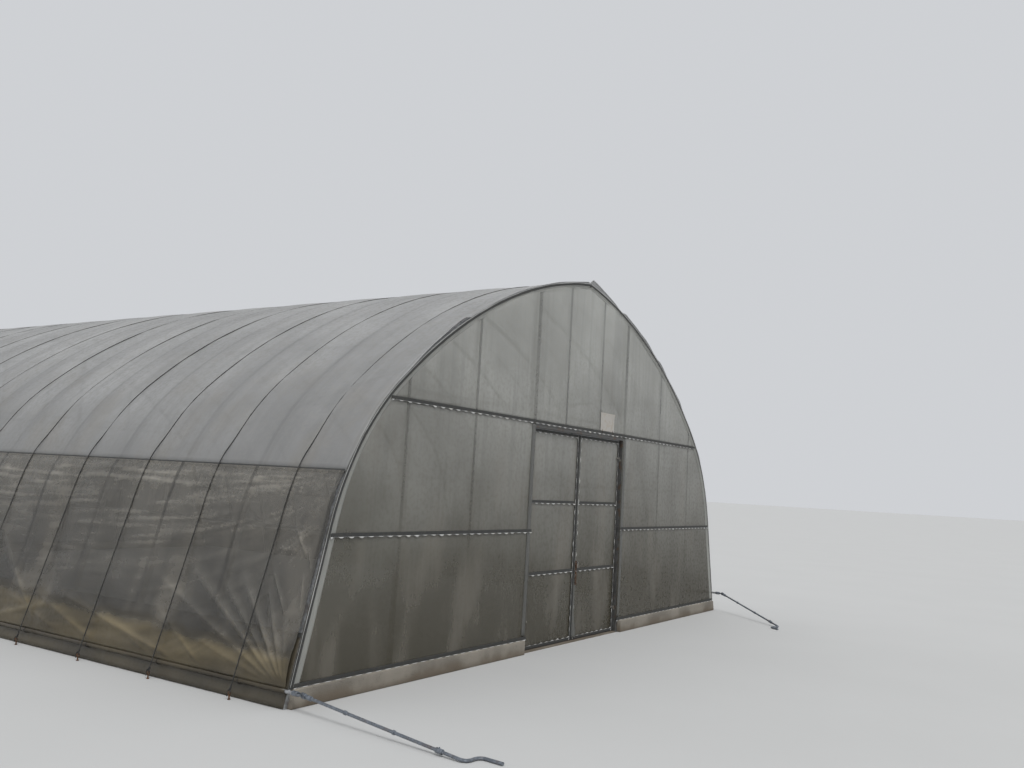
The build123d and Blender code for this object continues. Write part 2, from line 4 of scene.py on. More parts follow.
import bmesh
import bpy
import numpy as np
from bpy.props import FloatProperty, FloatVectorProperty, IntProperty, PointerProperty
from mathutils import Matrix, Vector


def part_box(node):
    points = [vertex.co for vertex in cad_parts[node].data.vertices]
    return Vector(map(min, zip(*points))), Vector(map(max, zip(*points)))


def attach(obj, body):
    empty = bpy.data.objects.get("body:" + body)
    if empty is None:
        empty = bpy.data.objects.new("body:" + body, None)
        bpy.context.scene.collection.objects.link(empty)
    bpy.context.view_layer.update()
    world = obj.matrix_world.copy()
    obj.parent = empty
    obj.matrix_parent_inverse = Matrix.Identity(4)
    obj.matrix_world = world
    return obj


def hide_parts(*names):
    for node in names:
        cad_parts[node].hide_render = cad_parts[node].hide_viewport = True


bl_info = {
    "name": "Polytunnel Greenhouse",
    "version": (1, 0, 0),
    "blender": (4, 5, 0),
    "location": "View3D > Sidebar > Greenhouse",
    "description": "Dresses a film tunnel greenhouse: films, lock wires, press ropes, clamps and weathering",
    "category": "Object",
}

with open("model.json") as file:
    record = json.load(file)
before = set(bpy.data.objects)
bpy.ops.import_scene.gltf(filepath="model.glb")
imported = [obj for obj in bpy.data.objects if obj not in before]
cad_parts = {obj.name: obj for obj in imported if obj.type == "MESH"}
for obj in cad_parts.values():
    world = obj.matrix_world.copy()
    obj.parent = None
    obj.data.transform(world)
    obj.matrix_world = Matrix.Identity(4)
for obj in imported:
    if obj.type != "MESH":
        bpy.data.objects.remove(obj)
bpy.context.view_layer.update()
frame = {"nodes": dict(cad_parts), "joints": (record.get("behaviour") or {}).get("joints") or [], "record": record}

# Places read from the frame, in metres
ARCH_LOW, ARCH_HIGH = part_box("front_arch")
HALF_SPAN = ARCH_HIGH[0]
RIDGE = ARCH_HIGH[2]
GABLE = ARCH_LOW[1]
FIRST_ROW = (ARCH_LOW[1] + ARCH_HIGH[1]) / 2
TUBE = ARCH_HIGH[1] - ARCH_LOW[1]
ROOF_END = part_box("roof_film")[1][1]
RAIL_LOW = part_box("curtain_rails")[0][2]
RAIL_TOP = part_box("curtain_rails")[1][2]
TOP_RAIL = (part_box("gable_film_upper")[0][2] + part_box("gable_films_side")[1][2]) / 2
FILM_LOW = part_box("gable_films_side")[0][2]
DOOR_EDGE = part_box("door_header")[1][0]
CHANNEL_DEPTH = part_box("back_rails")[1][1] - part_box("back_rails")[0][1]

# Sizes and places that no box of the frame gives, in metres
BAYS = 12
MIDDLE_RAIL = 1.16
RAIL_WIDTH = 0.030
LEAF_PANELS = 3
DOOR_POST = 1.0
STUDS = (0.38, DOOR_POST, 2.0, 2.95)
UNDER_CHANNEL = 0.0036  # from a frame tube's face to a channel's back

# Rows of arches along the tunnel, placings of the ropes between them, and the channels' outer face
BAY = -2 * FIRST_ROW / BAYS
ROWS = [FIRST_ROW + BAY * row for row in range(BAYS + 1)]
AT_ROPES = [Matrix.Translation((0, row + BAY / 2, 0)) for row in ROWS[:-1]]
CHANNEL_FACE = -GABLE + UNDER_CHANNEL + CHANNEL_DEPTH


class TunnelForm(bpy.types.PropertyGroup):
    """Shape of the tunnel's outline."""

    leg_length: FloatProperty(
        name="Leg length", description="Straight leaning part of an arch", default=1.27, unit="LENGTH"
    )
    leg_lean: FloatProperty(
        name="Leg lean", description="Lean of the legs from upright", default=radians(13.7), subtype="ANGLE"
    )
    ridge_slope: FloatProperty(
        name="Ridge slope", description="Slope of the roof at the ridge", default=radians(8.1),
        subtype="ANGLE",
    )
    roof_share: FloatProperty(
        name="Roof share", description="Length of the roof arc's tangents over the shoulder's",
        default=2.585,
    )


class TunnelFilm(bpy.types.PropertyGroup):
    """How the films lie."""

    thickness: FloatProperty(
        name="Film thickness", description="Thickness of a film", default=0.0014, unit="LENGTH"
    )
    roof_dip: FloatProperty(
        name="Roof dip", description="How far a rope pulls the roof film down between arches",
        default=0.011, unit="LENGTH",
    )
    billow: FloatProperty(
        name="Billow", description="How far a curtain stands out between ropes", default=0.016,
        unit="LENGTH",
    )
    fold_depth: FloatProperty(
        name="Fold depth", description="Depth of the curtains' drag folds", default=0.024, unit="LENGTH"
    )
    gable_slack: FloatProperty(
        name="Gable slack", description="How far the gable films bulge between rails", default=0.007,
        unit="LENGTH",
    )
    seed: IntProperty(name="Seed", description="Start of the random wrinkles", default=7)


class TunnelTrim(bpy.types.PropertyGroup):
    """Sizes of wires, ropes and small fasteners."""

    wire_diameter: FloatProperty(
        name="Lock wire diameter", description="Coated wire in the channels", default=0.0036, unit="LENGTH"
    )
    wire_pitch: FloatProperty(
        name="Lock wire pitch", description="Length of one zigzag of the wire", default=0.11, unit="LENGTH"
    )
    rope_width: FloatProperty(
        name="Rope width", description="Width of a press rope", default=0.009, unit="LENGTH"
    )
    tail_length: FloatProperty(
        name="Film tail", description="Film that sticks out of a channel", default=0.013, unit="LENGTH"
    )
    chain_links: IntProperty(name="Chain links", description="Links of the door chain", default=11)


class TunnelColours(bpy.types.PropertyGroup):
    """Main colours."""

    roof: FloatVectorProperty(
        name="Roof film", description="Clean roof film", default=(0.38, 0.38, 0.375), subtype="COLOR"
    )
    gable: FloatVectorProperty(
        name="Gable film", description="Gable and door films", default=(0.54, 0.545, 0.51), subtype="COLOR"
    )
    curtain: FloatVectorProperty(
        name="Curtain film", description="Old side film", default=(0.165, 0.155, 0.136), subtype="COLOR"
    )
    mud: FloatVectorProperty(
        name="Mud", description="Dried mud splashed on the film", default=(0.084, 0.066, 0.034),
        subtype="COLOR",
    )
    steel: FloatVectorProperty(
        name="Galvanised steel", description="Dull zinc", default=(0.42, 0.43, 0.44), subtype="COLOR"
    )
    concrete: FloatVectorProperty(
        name="Concrete", description="Weathered concrete", default=(0.21, 0.19, 0.16), subtype="COLOR"
    )


# The outline, measured along its developed length from a foot up to the ridge


class Outline:
    """Half of the tunnel's outline as a leg, a shoulder arc and a roof arc."""

    def __init__(self, form):
        self.lean = form.leg_lean
        self.leg = form.leg_length
        slope = form.ridge_slope
        share = form.roof_share
        leg_way = np.array([-sin(self.lean), cos(self.lean)])
        ridge_way = np.array([-cos(slope), sin(slope)])
        foot = np.array([HALF_SPAN, 0.0])
        leg_top = foot + leg_way * self.leg
        climb = np.array([0.0, RIDGE]) - leg_top
        reach = climb @ (leg_way + ridge_way * share)
        bend = 2 * share * (1 - leg_way @ ridge_way)
        tangent = (sqrt(reach**2 + bend * (climb @ climb)) - reach) / bend
        join_way = climb - leg_way * tangent - ridge_way * tangent * share
        self.join = atan2(-join_way[0], join_way[1])
        self.top = pi / 2 - slope
        self.shoulder = tangent / tan((self.join - self.lean) / 2)
        self.roof = tangent * share / tan((self.top - self.join) / 2)
        self.shoulder_centre = leg_top - self.shoulder * np.array([cos(self.lean), sin(self.lean)])
        self.roof_centre = np.array([-self.roof * sin(slope), RIDGE - self.roof * cos(slope)])
        self.roof_start = self.leg + self.shoulder * (self.join - self.lean)
        self.length = self.roof_start + self.roof * (self.top - self.join)
        self.curtain_rail = self.run_at(RAIL_LOW + RAIL_WIDTH / 2)

    def angle(self, run):
        """Angle above level of the outward direction."""
        run = np.asarray(run, dtype=float)
        on_shoulder = self.lean + (run - self.leg) / self.shoulder
        on_roof = self.join + (run - self.roof_start) / self.roof
        bent = np.where(run < self.roof_start, on_shoulder, on_roof)
        return np.where(run < self.leg, self.lean, bent)

    def point(self, run, offset=0.0):
        """Places (x, z) on the right-hand half, moved outwards by offset."""
        run = np.asarray(run, dtype=float)
        angle = self.angle(run)
        out = (np.cos(angle), np.sin(angle))
        on_leg = (HALF_SPAN - run * sin(self.lean), run * cos(self.lean))
        place = []
        for axis in range(2):
            on_shoulder = self.shoulder_centre[axis] + self.shoulder * out[axis]
            on_roof = self.roof_centre[axis] + self.roof * out[axis]
            bent = np.where(run < self.roof_start, on_shoulder, on_roof)
            place.append(np.where(run < self.leg, on_leg[axis], bent) + offset * out[axis])
        return place

    def run_at(self, height):
        """Developed length from the foot up to a height."""
        if height <= self.leg * cos(self.lean):
            return height / cos(self.lean)
        join_height = self.shoulder_centre[1] + self.shoulder * sin(self.join)
        if height <= join_height:
            angle = asin((height - self.shoulder_centre[1]) / self.shoulder)
            return self.leg + self.shoulder * (angle - self.lean)
        angle = asin(min(1.0, (height - self.roof_centre[1]) / self.roof))
        return min(self.length, self.roof_start + self.roof * (angle - self.join))

    def half_width(self, height, offset=0.0):
        """Distance from the centre line at a height, moved outwards by offset."""
        run = np.linspace(0, self.length, 4000)
        x, z = self.point(run, offset)
        return np.maximum(0.0, np.interp(height, z, x))


outline = None


# Wrinkles: smooth and creased noise on a fixed table of random numbers

NOISE_TABLE = 64
CREASE_SHARPNESS = 2.2


def fade(value, start, end):
    """0 before start and 1 after end, smooth between."""
    share = np.clip((value - start) / (end - start), 0, 1)
    return share * share * (3 - 2 * share)


def near(value, place, width):
    """1 at a place, falling to 0 over a width."""
    return 1 - fade(np.abs(value - place), 0, width)


def soft_noise(u, v, seed):
    """Smooth noise from -1 to 1, one lump for each unit of u and v."""
    table = np.random.default_rng(seed).uniform(-1, 1, (NOISE_TABLE, NOISE_TABLE))
    u, v = np.broadcast_arrays(np.asarray(u, dtype=float), np.asarray(v, dtype=float))
    column, row = np.floor(u).astype(int), np.floor(v).astype(int)
    across, along = fade(u - column, 0, 1), fade(v - row, 0, 1)

    def level(row):
        left = table[column % NOISE_TABLE, row % NOISE_TABLE]
        right = table[(column + 1) % NOISE_TABLE, row % NOISE_TABLE]
        return left * (1 - across) + right * across

    return level(row) * (1 - along) + level(row + 1) * along


def creases(u, v, seed):
    """Noise with sharp ridges that reach 1."""
    return 1 - np.abs(soft_noise(u, v, seed)) * CREASE_SHARPNESS


# Modelling helpers


def deselect():
    """Leave object mode with nothing selected."""
    if bpy.context.object and bpy.context.object.mode != "OBJECT":
        bpy.ops.object.mode_set(mode="OBJECT")
    bpy.ops.object.select_all(action="DESELECT")


def choose(*pieces):
    """Select pieces and make the first one active."""
    deselect()
    for piece in pieces:
        piece.select_set(True)
    bpy.context.view_layer.objects.active = pieces[0]


def edit_all(piece):
    """Open a piece in edit mode with all of it selected."""
    choose(piece)
    bpy.ops.object.mode_set(mode="EDIT")
    bpy.ops.mesh.select_all(action="SELECT")


def named(name):
    """Name the new active object, with its place in its mesh."""
    piece = bpy.context.object
    piece.name = name
    piece.data.name = name
    bpy.ops.object.transform_apply(location=True, rotation=True, scale=True)
    return piece


def smooth(piece, angle=35):
    """Shade smooth up to an angle in degrees."""
    choose(piece)
    bpy.ops.object.shade_smooth_by_angle(angle=radians(angle))
    return piece


def face_out(piece):
    """Merge doubles and point all faces outwards."""
    edit_all(piece)
    bpy.ops.mesh.remove_doubles(threshold=0.00002)
    bpy.ops.mesh.normals_make_consistent(inside=False)
    bpy.ops.object.mode_set(mode="OBJECT")
    return piece


def block(name, low, high, bevel=0.002, segments=2):
    """Bevelled block between two corners."""
    deselect()
    centre = [(a + b) / 2 for a, b in zip(low, high)]
    bpy.ops.mesh.primitive_cube_add(size=1, location=centre)
    bpy.context.object.scale = [b - a for a, b in zip(low, high)]
    piece = named(name)
    edit_all(piece)
    bpy.ops.mesh.bevel(offset=bevel, segments=segments, affect="EDGES")
    bpy.ops.object.mode_set(mode="OBJECT")
    return piece


def rod(name, start, end, radius, sides=10, bevel=0.0):
    """Round bar between two points, with ends that may be bevelled."""
    deselect()
    start, end = Vector(start), Vector(end)
    way = end - start
    bpy.ops.mesh.primitive_cylinder_add(
        vertices=sides, radius=radius, depth=way.length, location=(start + end) / 2,
        rotation=way.to_track_quat("Z", "Y").to_euler(),
    )
    piece = named(name)
    if bevel:
        bpy.ops.object.mode_set(mode="EDIT")
        bpy.ops.mesh.select_all(action="DESELECT")
        bpy.ops.object.mode_set(mode="OBJECT")
        for edge in piece.data.edges:
            ends = [piece.data.vertices[index].co - start for index in edge.vertices]
            heights = [offset.dot(way.normalized()) for offset in ends]
            edge.select = abs(heights[0] - heights[1]) < way.length / 2
        bpy.ops.object.mode_set(mode="EDIT")
        bpy.ops.mesh.bevel(offset=bevel, segments=2, affect="EDGES")
        bpy.ops.object.mode_set(mode="OBJECT")
    return piece


def ring(name, place, axis, major, minor, around, sides):
    """Round ring about an axis."""
    deselect()
    bpy.ops.mesh.primitive_torus_add(
        location=place, rotation=Vector(axis).to_track_quat("Z", "Y").to_euler(),
        major_radius=major, minor_radius=minor, major_segments=around, minor_segments=sides,
    )
    return named(name)


def bent_wire(name, points, radius, sides):
    """Wire along points, made from a bevelled curve."""
    deselect()
    curve = bpy.data.curves.new(name, "CURVE")
    curve.dimensions = "3D"
    spline = curve.splines.new("POLY")
    spline.points.add(len(points) - 1)
    spline.points.foreach_set("co", [value for point in points for value in (*point, 1)])
    curve.bevel_depth = radius
    curve.bevel_resolution = (sides - 4) // 2
    curve.use_fill_caps = True
    piece = bpy.data.objects.new(name, curve)
    bpy.context.collection.objects.link(piece)
    choose(piece)
    bpy.ops.object.convert(target="MESH")
    return bpy.context.object


def joined(name, pieces):
    """Join pieces into one."""
    choose(*pieces)
    if len(pieces) > 1:
        bpy.ops.object.join()
    piece = bpy.context.object
    piece.name = name
    piece.data.name = name
    return piece


def repeated(name, pattern, placings):
    """One piece made of copies at given placings; the pattern itself goes."""
    copies = []
    for placing in placings:
        twin = pattern.copy()
        twin.data = pattern.data.copy()
        bpy.context.collection.objects.link(twin)
        twin.data.transform(placing)
        if placing.determinant() < 0:
            twin.data.flip_normals()
        copies.append(twin)
    bpy.data.objects.remove(pattern)
    return joined(name, copies)


def film_sheet(name, columns, rows, place, thickness):
    """Film made from a grid, whose points place(u, v) sets for u and v from 0 to 1. A fourth value is
    how much each point stands out, kept on the points as a painted highlight that lightens the film."""
    deselect()
    bpy.ops.mesh.primitive_grid_add(x_subdivisions=columns, y_subdivisions=rows, size=1)
    piece = named(name)
    flat = np.empty(len(piece.data.vertices) * 3)
    piece.data.vertices.foreach_get("co", flat)
    flat = flat.reshape(-1, 3)
    x, y, z, *painted_highlight = np.broadcast_arrays(*place(flat[:, 0] + 0.5, flat[:, 1] + 0.5))
    piece.data.vertices.foreach_set("co", np.column_stack([x, y, z]).ravel())
    if painted_highlight:
        piece.data.attributes.new("painted_highlight", "FLOAT", "POINT").data.foreach_set("value", painted_highlight[0].ravel())
    piece.data.update()
    shell = piece.modifiers.new("thickness", "SOLIDIFY")
    shell.thickness = thickness
    shell.offset = 0
    choose(piece)
    bpy.ops.object.modifier_apply(modifier=shell.name)
    bpy.ops.object.shade_smooth()
    return piece


def paint(piece, finish):
    """Give a piece one material."""
    piece.data.materials.clear()
    piece.data.materials.append(materials[finish])


def dress(piece, finish, slot, *replaced, body="tunnel"):
    """Give a piece its material and its body, and hide the nodes that it stands for. slot is not used."""
    paint(piece, finish)
    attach(piece, body)
    if replaced:
        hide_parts(*replaced)


# Materials, each kept under its name

materials = {}


class Nodes:
    """A node tree, with short calls for its nodes."""

    def __init__(self, tree):
        self.nodes = tree.nodes
        self.links = tree.links

    def node(self, kind, **inputs):
        """New node with its inputs linked or set."""
        made = self.nodes.new(kind)
        for name, value in inputs.items():
            self.feed(made.inputs[name.replace("_", " ")], value)
        return made

    def feed(self, socket, value):
        """Link an output to a socket, or set its value."""
        if isinstance(value, bpy.types.NodeSocket):
            self.links.new(value, socket)
        else:
            socket.default_value = value

    def maths(self, kind, first, second):
        """Result of one sum on two values."""
        made = self.nodes.new("ShaderNodeMath")
        made.operation = kind
        self.feed(made.inputs[0], first)
        self.feed(made.inputs[1], second)
        return made.outputs[0]

    def plus(self, first, second):
        return self.maths("ADD", first, second)

    def times(self, first, second):
        return self.maths("MULTIPLY", first, second)

    def larger(self, first, second):
        return self.maths("MAXIMUM", first, second)


class Finish(Nodes):
    """A material on one Principled shader, with short calls for its patterns."""

    def __init__(self, name, colour, roughness, metallic=0.0):
        materials[name] = bpy.data.materials.new(name)
        materials[name].use_nodes = True
        super().__init__(materials[name].node_tree)
        self.shader = self.nodes["Principled BSDF"]
        self.shader.inputs["Base Color"].default_value = (*colour, 1)
        self.shader.inputs["Roughness"].default_value = roughness
        self.shader.inputs["Metallic"].default_value = metallic
        self.places = self.nodes.new("ShaderNodeTexCoord").outputs["Object"]

    def noise(self, scale, detail, stretch=(1, 1, 1)):
        """Noise over the object's own places, from 0 to 1."""
        mapping = self.node("ShaderNodeMapping", Vector=self.places, Scale=stretch)
        made = self.node("ShaderNodeTexNoise", Vector=mapping.outputs["Vector"], Scale=scale, Detail=detail)
        return made.outputs["Fac"]

    def ramp(self, value, low, high, to_low=0.0, to_high=1.0):
        """Value mapped from low..high to another range, clamped."""
        made = self.node(
            "ShaderNodeMapRange", Value=value, From_Min=low, From_Max=high, To_Min=to_low, To_Max=to_high
        )
        made.interpolation_type = "SMOOTHSTEP"
        return made.outputs["Result"]

    def patches(self, scale, detail, low, high, stretch=(1, 1, 1)):
        """Noise as patches: 0 where it is under low, 1 where it is over high."""
        return self.ramp(self.noise(scale, detail, stretch), low, high)

    def place(self, axis):
        """One coordinate of the object's own places."""
        return self.node("ShaderNodeSeparateXYZ", Vector=self.places).outputs[axis]

    def blend(self, factor, first, second):
        """Colour between two colours."""
        made = self.nodes.new("ShaderNodeMix")
        made.data_type = "RGBA"
        self.feed(made.inputs[0], factor)
        for socket, colour in ((made.inputs[6], first), (made.inputs[7], second)):
            self.feed(socket, colour if isinstance(colour, bpy.types.NodeSocket) else (*colour, 1))
        return made.outputs[2]

    def tint(self, shade, mask, amount, colour):
        """A shade with an amount of a colour where a mask is 1."""
        return self.blend(self.times(mask, amount), shade, colour)

    def lightened(self, colour, factor):
        """A colour times a factor."""
        made = self.nodes.new("ShaderNodeVectorMath")
        made.operation = "SCALE"
        self.feed(made.inputs[0], colour)
        self.feed(made.inputs["Scale"], factor)
        return made.outputs[0]

    def colour(self, value):
        self.feed(self.shader.inputs["Base Color"], value)

    def roughness(self, value):
        self.feed(self.shader.inputs["Roughness"], value)

    def alpha(self, value):
        self.feed(self.shader.inputs["Alpha"], value)

    def bump(self, value, strength, distance):
        """Fine relief."""
        made = self.node("ShaderNodeBump", Height=value, Strength=strength, Distance=distance)
        self.links.new(made.outputs["Normal"], self.shader.inputs["Normal"])


def scaled(colour, factor):
    """A colour made lighter or darker."""
    return tuple(min(1.0, channel * factor) for channel in colour)


def film_finish(
    name, colour, clear, dirt, relief,
    streaks=(0.3, (1, 1, 0.05)), foot=None, mud=None, bands=None, folds=None,
):
    """Plastic film: dusty and streaked. clear is its alpha; relief is the bump's (scale, stretch,
    distance); streaks are (amount, stretch); foot is (height, colour, alpha) of a foot that grows
    darker towards the bottom, painted shade with smeared dirt over it; mud is (colour, height at the
    front, rise for each metre back); bands is how dark the painted shadow of the frame lies on the
    film, and where: a function of the finish that gives the distance to the nearest tube; folds is how
    much a painted highlight lightens the folds."""
    finish = Finish(name, colour, 0.4)
    broad = finish.patches(1.1, 5, 0.35, 0.7)
    fine = finish.patches(26, 6, 0.42, 0.66)
    streak = finish.patches(13, 4, 0.45, 0.68, streaks[1])
    shade = finish.blend(broad, scaled(colour, 1.12), scaled(colour, 0.84))
    shade = finish.tint(shade, fine, 0.22, dirt)
    shade = finish.tint(shade, streak, streaks[0], scaled(colour, 0.62))
    cloudy = finish.plus(broad, finish.times(fine, 0.6))
    alpha = finish.ramp(cloudy, 0, 1.6, clear - 0.04, clear + 0.05)
    # Painted shadow of the frame: darker bands where the arches or studs lie behind the film
    if bands:
        amount, distance_to = bands
        mark_and_shade = finish.ramp(distance_to(finish), 0.010, 0.028, amount, 0.0)
        uneven = finish.ramp(finish.noise(1.6, 4), 0.3, 0.6, 0.55, 1.0)
        shade = finish.tint(shade, mark_and_shade, uneven, scaled(colour, 0.3))
    # Painted shade: the film grows darker towards the bottom, with smeared dirt over it
    if foot:
        top, foot_shade, foot_alpha = foot
        level = finish.plus(finish.place("Z"), finish.times(broad, -0.25))
        low = finish.ramp(level, 0.0, top, 1.0, 0.0)
        smear = finish.patches(2.6, 6, 0.48, 0.7, (1, 1, 0.3))
        shade = finish.blend(low, shade, foot_shade)
        shade = finish.tint(shade, smear, finish.times(low, 0.5), scaled(dirt, 0.7))
        alpha = finish.larger(alpha, finish.ramp(low, 0.0, 1.0, clear - 0.04, foot_alpha))
    if mud:
        shade, alpha = muddy(finish, shade, alpha, clear, *mud)
    # Painted highlight: folds lighter and more opaque where they stand out
    if folds:
        painted_highlight = finish.node("ShaderNodeAttribute")
        painted_highlight.attribute_name = "painted_highlight"
        highlight_and_wear = finish.maths("MINIMUM", painted_highlight.outputs["Fac"], 1.0)
        shade = finish.lightened(shade, finish.plus(finish.times(highlight_and_wear, folds), 1.0))
        alpha = finish.larger(alpha, finish.times(highlight_and_wear, 0.75))
    finish.colour(shade)
    finish.alpha(alpha)
    finish.roughness(finish.ramp(fine, 0, 1, 0.28, 0.48))
    scale, stretch, distance = relief
    finish.bump(finish.noise(scale, 3, stretch), 0.6, distance)


def muddy(finish, shade, alpha, clear, colour, top, rise):
    """Splashed mud up to a wavy height, as the new colour and alpha."""
    back = finish.times(finish.plus(finish.place("Y"), -GABLE), -rise)
    edge = finish.plus(finish.place("Z"), finish.larger(back, -0.14))
    edge = finish.plus(edge, finish.times(finish.noise(2.3, 7), -0.22))
    edge = finish.plus(edge, 0.11)
    wet = finish.ramp(edge, top - 0.07, top + 0.02, 1.0, 0.0)
    splash = finish.times(
        finish.patches(46, 5, 0.52, 0.72),
        finish.ramp(edge, top, top + 0.5, 0.55, 0.0),
    )
    rim = finish.times(
        finish.ramp(edge, top - 0.03, top + 0.01),
        finish.ramp(edge, top + 0.012, top + 0.06, 1.0, 0.0),
    )
    patches = finish.patches(5, 7, 0.35, 0.68, (1, 0.3, 1))
    tones = finish.blend(patches, scaled(colour, 1.4), scaled(colour, 0.72))
    shade = finish.blend(splash, shade, colour)
    shade = finish.tint(shade, wet, 0.8, tones)
    shade = finish.tint(shade, rim, 0.5, scaled(colour, 0.45))
    return shade, finish.larger(alpha, finish.ramp(wet, 0, 1, clear - 0.04, 0.84))


def to_arch(finish):
    """Distance along the tunnel to the nearest arch."""
    return finish.maths("PINGPONG", finish.maths("SUBTRACT", finish.place("Y"), FIRST_ROW), BAY / 2)


def to_stud(finish):
    """Distance across a gable to the nearest stud."""
    aside = finish.maths("ABSOLUTE", finish.place("X"), 0)
    nearest = 1.0
    for stud in STUDS:
        gap = finish.maths("ABSOLUTE", finish.maths("SUBTRACT", aside, stud), 0)
        # The painted shadow reaches further at the door post
        wider = 0.012 if stud == DOOR_POST else 0.0
        nearest = finish.maths("MINIMUM", finish.maths("SUBTRACT", gap, wider), nearest)
    return nearest


def steel_finish(name, colour, rust=0.25, roughness=0.45):
    """Galvanised steel: mottled zinc, scuffs and a little rust."""
    finish = Finish(name, colour, roughness, 0.75)
    mottle = finish.patches(55, 3, 0.4, 0.62)
    scuff = finish.patches(14, 8, 0.52, 0.7)
    shade = finish.blend(mottle, scaled(colour, 0.8), scaled(colour, 1.15))
    finish.colour(finish.tint(shade, scuff, rust, (0.17, 0.09, 0.045)))
    finish.roughness(finish.ramp(mottle, 0, 1, roughness - 0.08, roughness + 0.16))
    finish.bump(finish.noise(120, 4), 0.2, 0.001)


def concrete_finish(name, colour):
    """Concrete: sand grain, damp foot, stains and pits."""
    finish = Finish(name, colour, 0.9)
    stain = finish.patches(3.2, 7, 0.35, 0.7)
    grain = finish.patches(160, 4, 0.35, 0.65)
    pits = finish.patches(48, 3, 0.62, 0.72)
    damp = finish.ramp(finish.plus(finish.place("Z"), finish.times(stain, -0.05)), -0.02, 0.07, 0.7, 0)
    shade = finish.blend(stain, scaled(colour, 1.15), scaled(colour, 0.7))
    shade = finish.tint(shade, grain, 0.35, scaled(colour, 1.35))
    shade = finish.blend(damp, shade, (0.12, 0.09, 0.06))
    finish.colour(finish.tint(shade, pits, 0.5, scaled(colour, 0.45)))
    relief = finish.maths("SUBTRACT", finish.noise(90, 8), finish.times(pits, 0.8))
    finish.bump(relief, 0.6, 0.004)


def plain_finish(name, colour, roughness, mark_and_shade, amount=0.4, scale=60, metallic=0.0):
    """Small parts: one colour with worn or dusty patches."""
    finish = Finish(name, colour, roughness, metallic)
    patches = finish.patches(scale, 6, 0.45, 0.7)
    finish.colour(finish.tint(colour, patches, amount, mark_and_shade))
    finish.roughness(finish.ramp(patches, 0, 1, roughness, min(1.0, roughness + 0.2)))
    finish.bump(finish.noise(scale * 2, 5), 0.25, 0.001)


# Finishes of the record slots that have another name than their finish
SLOT_FINISHES = {
    "old_film": "curtain_film",
    "concrete": "weathered_concrete",
    "rope": "press_rope",
    "anchor_steel": "rusty_steel",
    "bare_plate": "faded_plate",
}


class TUNNEL_OT_finishes(bpy.types.Operator):
    """Make the materials and put them on the frame's own nodes"""

    bl_idname = "tunnel.finishes"
    bl_label = "Finishes"

    def execute(self, context):
        self.films(context.scene.tunnel_colours)
        self.solids(context.scene.tunnel_colours)
        for subpart in frame["record"]["subparts"]:
            slot = subpart["material_slot"]
            paint(frame["nodes"][subpart["node"]], SLOT_FINISHES.get(slot, slot))
        for node in ("door_header", "door_posts"):
            paint(frame["nodes"][node], "shaded_header")
        return {"FINISHED"}

    def films(self, colours):
        """Films, from the roof's to the skirts', and their laps and hems."""
        roof, gable, curtain, mud = colours.roof, colours.gable, colours.curtain, colours.mud
        dust = (0.33, 0.30, 0.25)
        across_roof = (0.05, 1, 0.05)
        smooth_relief = (16, (1, 1, 1), 0.004)
        level_relief = (11, (1, 0.2, 2.2), 0.0035)
        upright_relief = (17, (1.5, 1, 0.16), 0.004)
        # Feet that grow darker towards the bottom are painted shade, with smeared dirt over them
        gable_shaded_foot = (3.8, (0.066, 0.058, 0.038), 0.69)
        # The bands below are painted shadow of the arches and studs, and folds is a painted highlight
        film_finish(
            "roof_film", roof, 0.6, scaled(dust, 1.1), smooth_relief, streaks=(0.32, across_roof),
            foot=(4.2, scaled(roof, 0.6), 0.62), bands=(0.4, to_arch), folds=0.35,
        )
        film_finish("gable_film", gable, 0.5, dust, upright_relief, foot=gable_shaded_foot, bands=(0.62, to_stud))
        film_finish("door_film", gable, 0.5, dust, upright_relief, foot=gable_shaded_foot)
        film_finish(
            "curtain_film", curtain, 0.6, dust, level_relief, foot=(1.9, scaled(curtain, 0.26), 0.68),
            mud=(mud, 0.34, 0.026), bands=(0.8, to_arch), folds=0.95,
        )
        film_finish(
            "skirt_film", curtain, 0.8, scaled(dust, 0.6), level_relief,
            mud=(scaled(mud, 0.62), 0.7, 0.0),
        )
        film_finish(
            "rolled_film", (0.05, 0.044, 0.047), 0.92, scaled(mud, 0.8), level_relief,
            mud=(scaled(mud, 0.7), 0.2, 0.0),
        )
        film_finish("film_lap", scaled(gable, 0.72), 0.66, dust, upright_relief)
        # Doubled film at the door posts and the meeting edge, painted dark as the shade there
        film_finish("shaded_double_film", scaled(gable, 0.24), 0.7, scaled(dust, 0.5), upright_relief)
        film_finish("film_hem", scaled(roof, 1.25), 0.8, dust, smooth_relief)
        plain_finish("clean_film", (0.5, 0.5, 0.49), 0.4, (0.5, 0.47, 0.4), 0.5, 18)

    def solids(self, colours):
        """Steel, coated wire, rope, rubber, the bare plate and concrete."""
        steel_finish("galvanised_tube", colours.steel)
        steel_finish("shaded_header", (0.15, 0.15, 0.145), 0.5, 0.55)
        steel_finish("crank_steel", (0.21, 0.23, 0.26), 0.3, 0.42)
        steel_finish("door_hardware", (0.24, 0.23, 0.21), 0.6, 0.5)
        plain_finish("lock_channel", (0.036, 0.037, 0.036), 0.75, (0.1, 0.092, 0.078), 0.4, 35)
        plain_finish("coated_wire", (0.1, 0.104, 0.1), 0.5, (0.05, 0.046, 0.042), 0.5, 40)
        plain_finish("press_rope", (0.02, 0.02, 0.02), 0.7, (0.12, 0.11, 0.09), 0.45, 45)
        plain_finish("rusty_steel", (0.11, 0.06, 0.035), 0.8, (0.23, 0.1, 0.04), 0.7, 70, 0.4)
        plain_finish("faded_plate", (0.42, 0.40, 0.37), 0.55, (0.36, 0.27, 0.18), 0.35, 22)
        plain_finish("black_grip", (0.03, 0.03, 0.03), 0.75, (0.14, 0.12, 0.1), 0.5, 50)
        concrete_finish("weathered_concrete", colours.concrete)


# Films

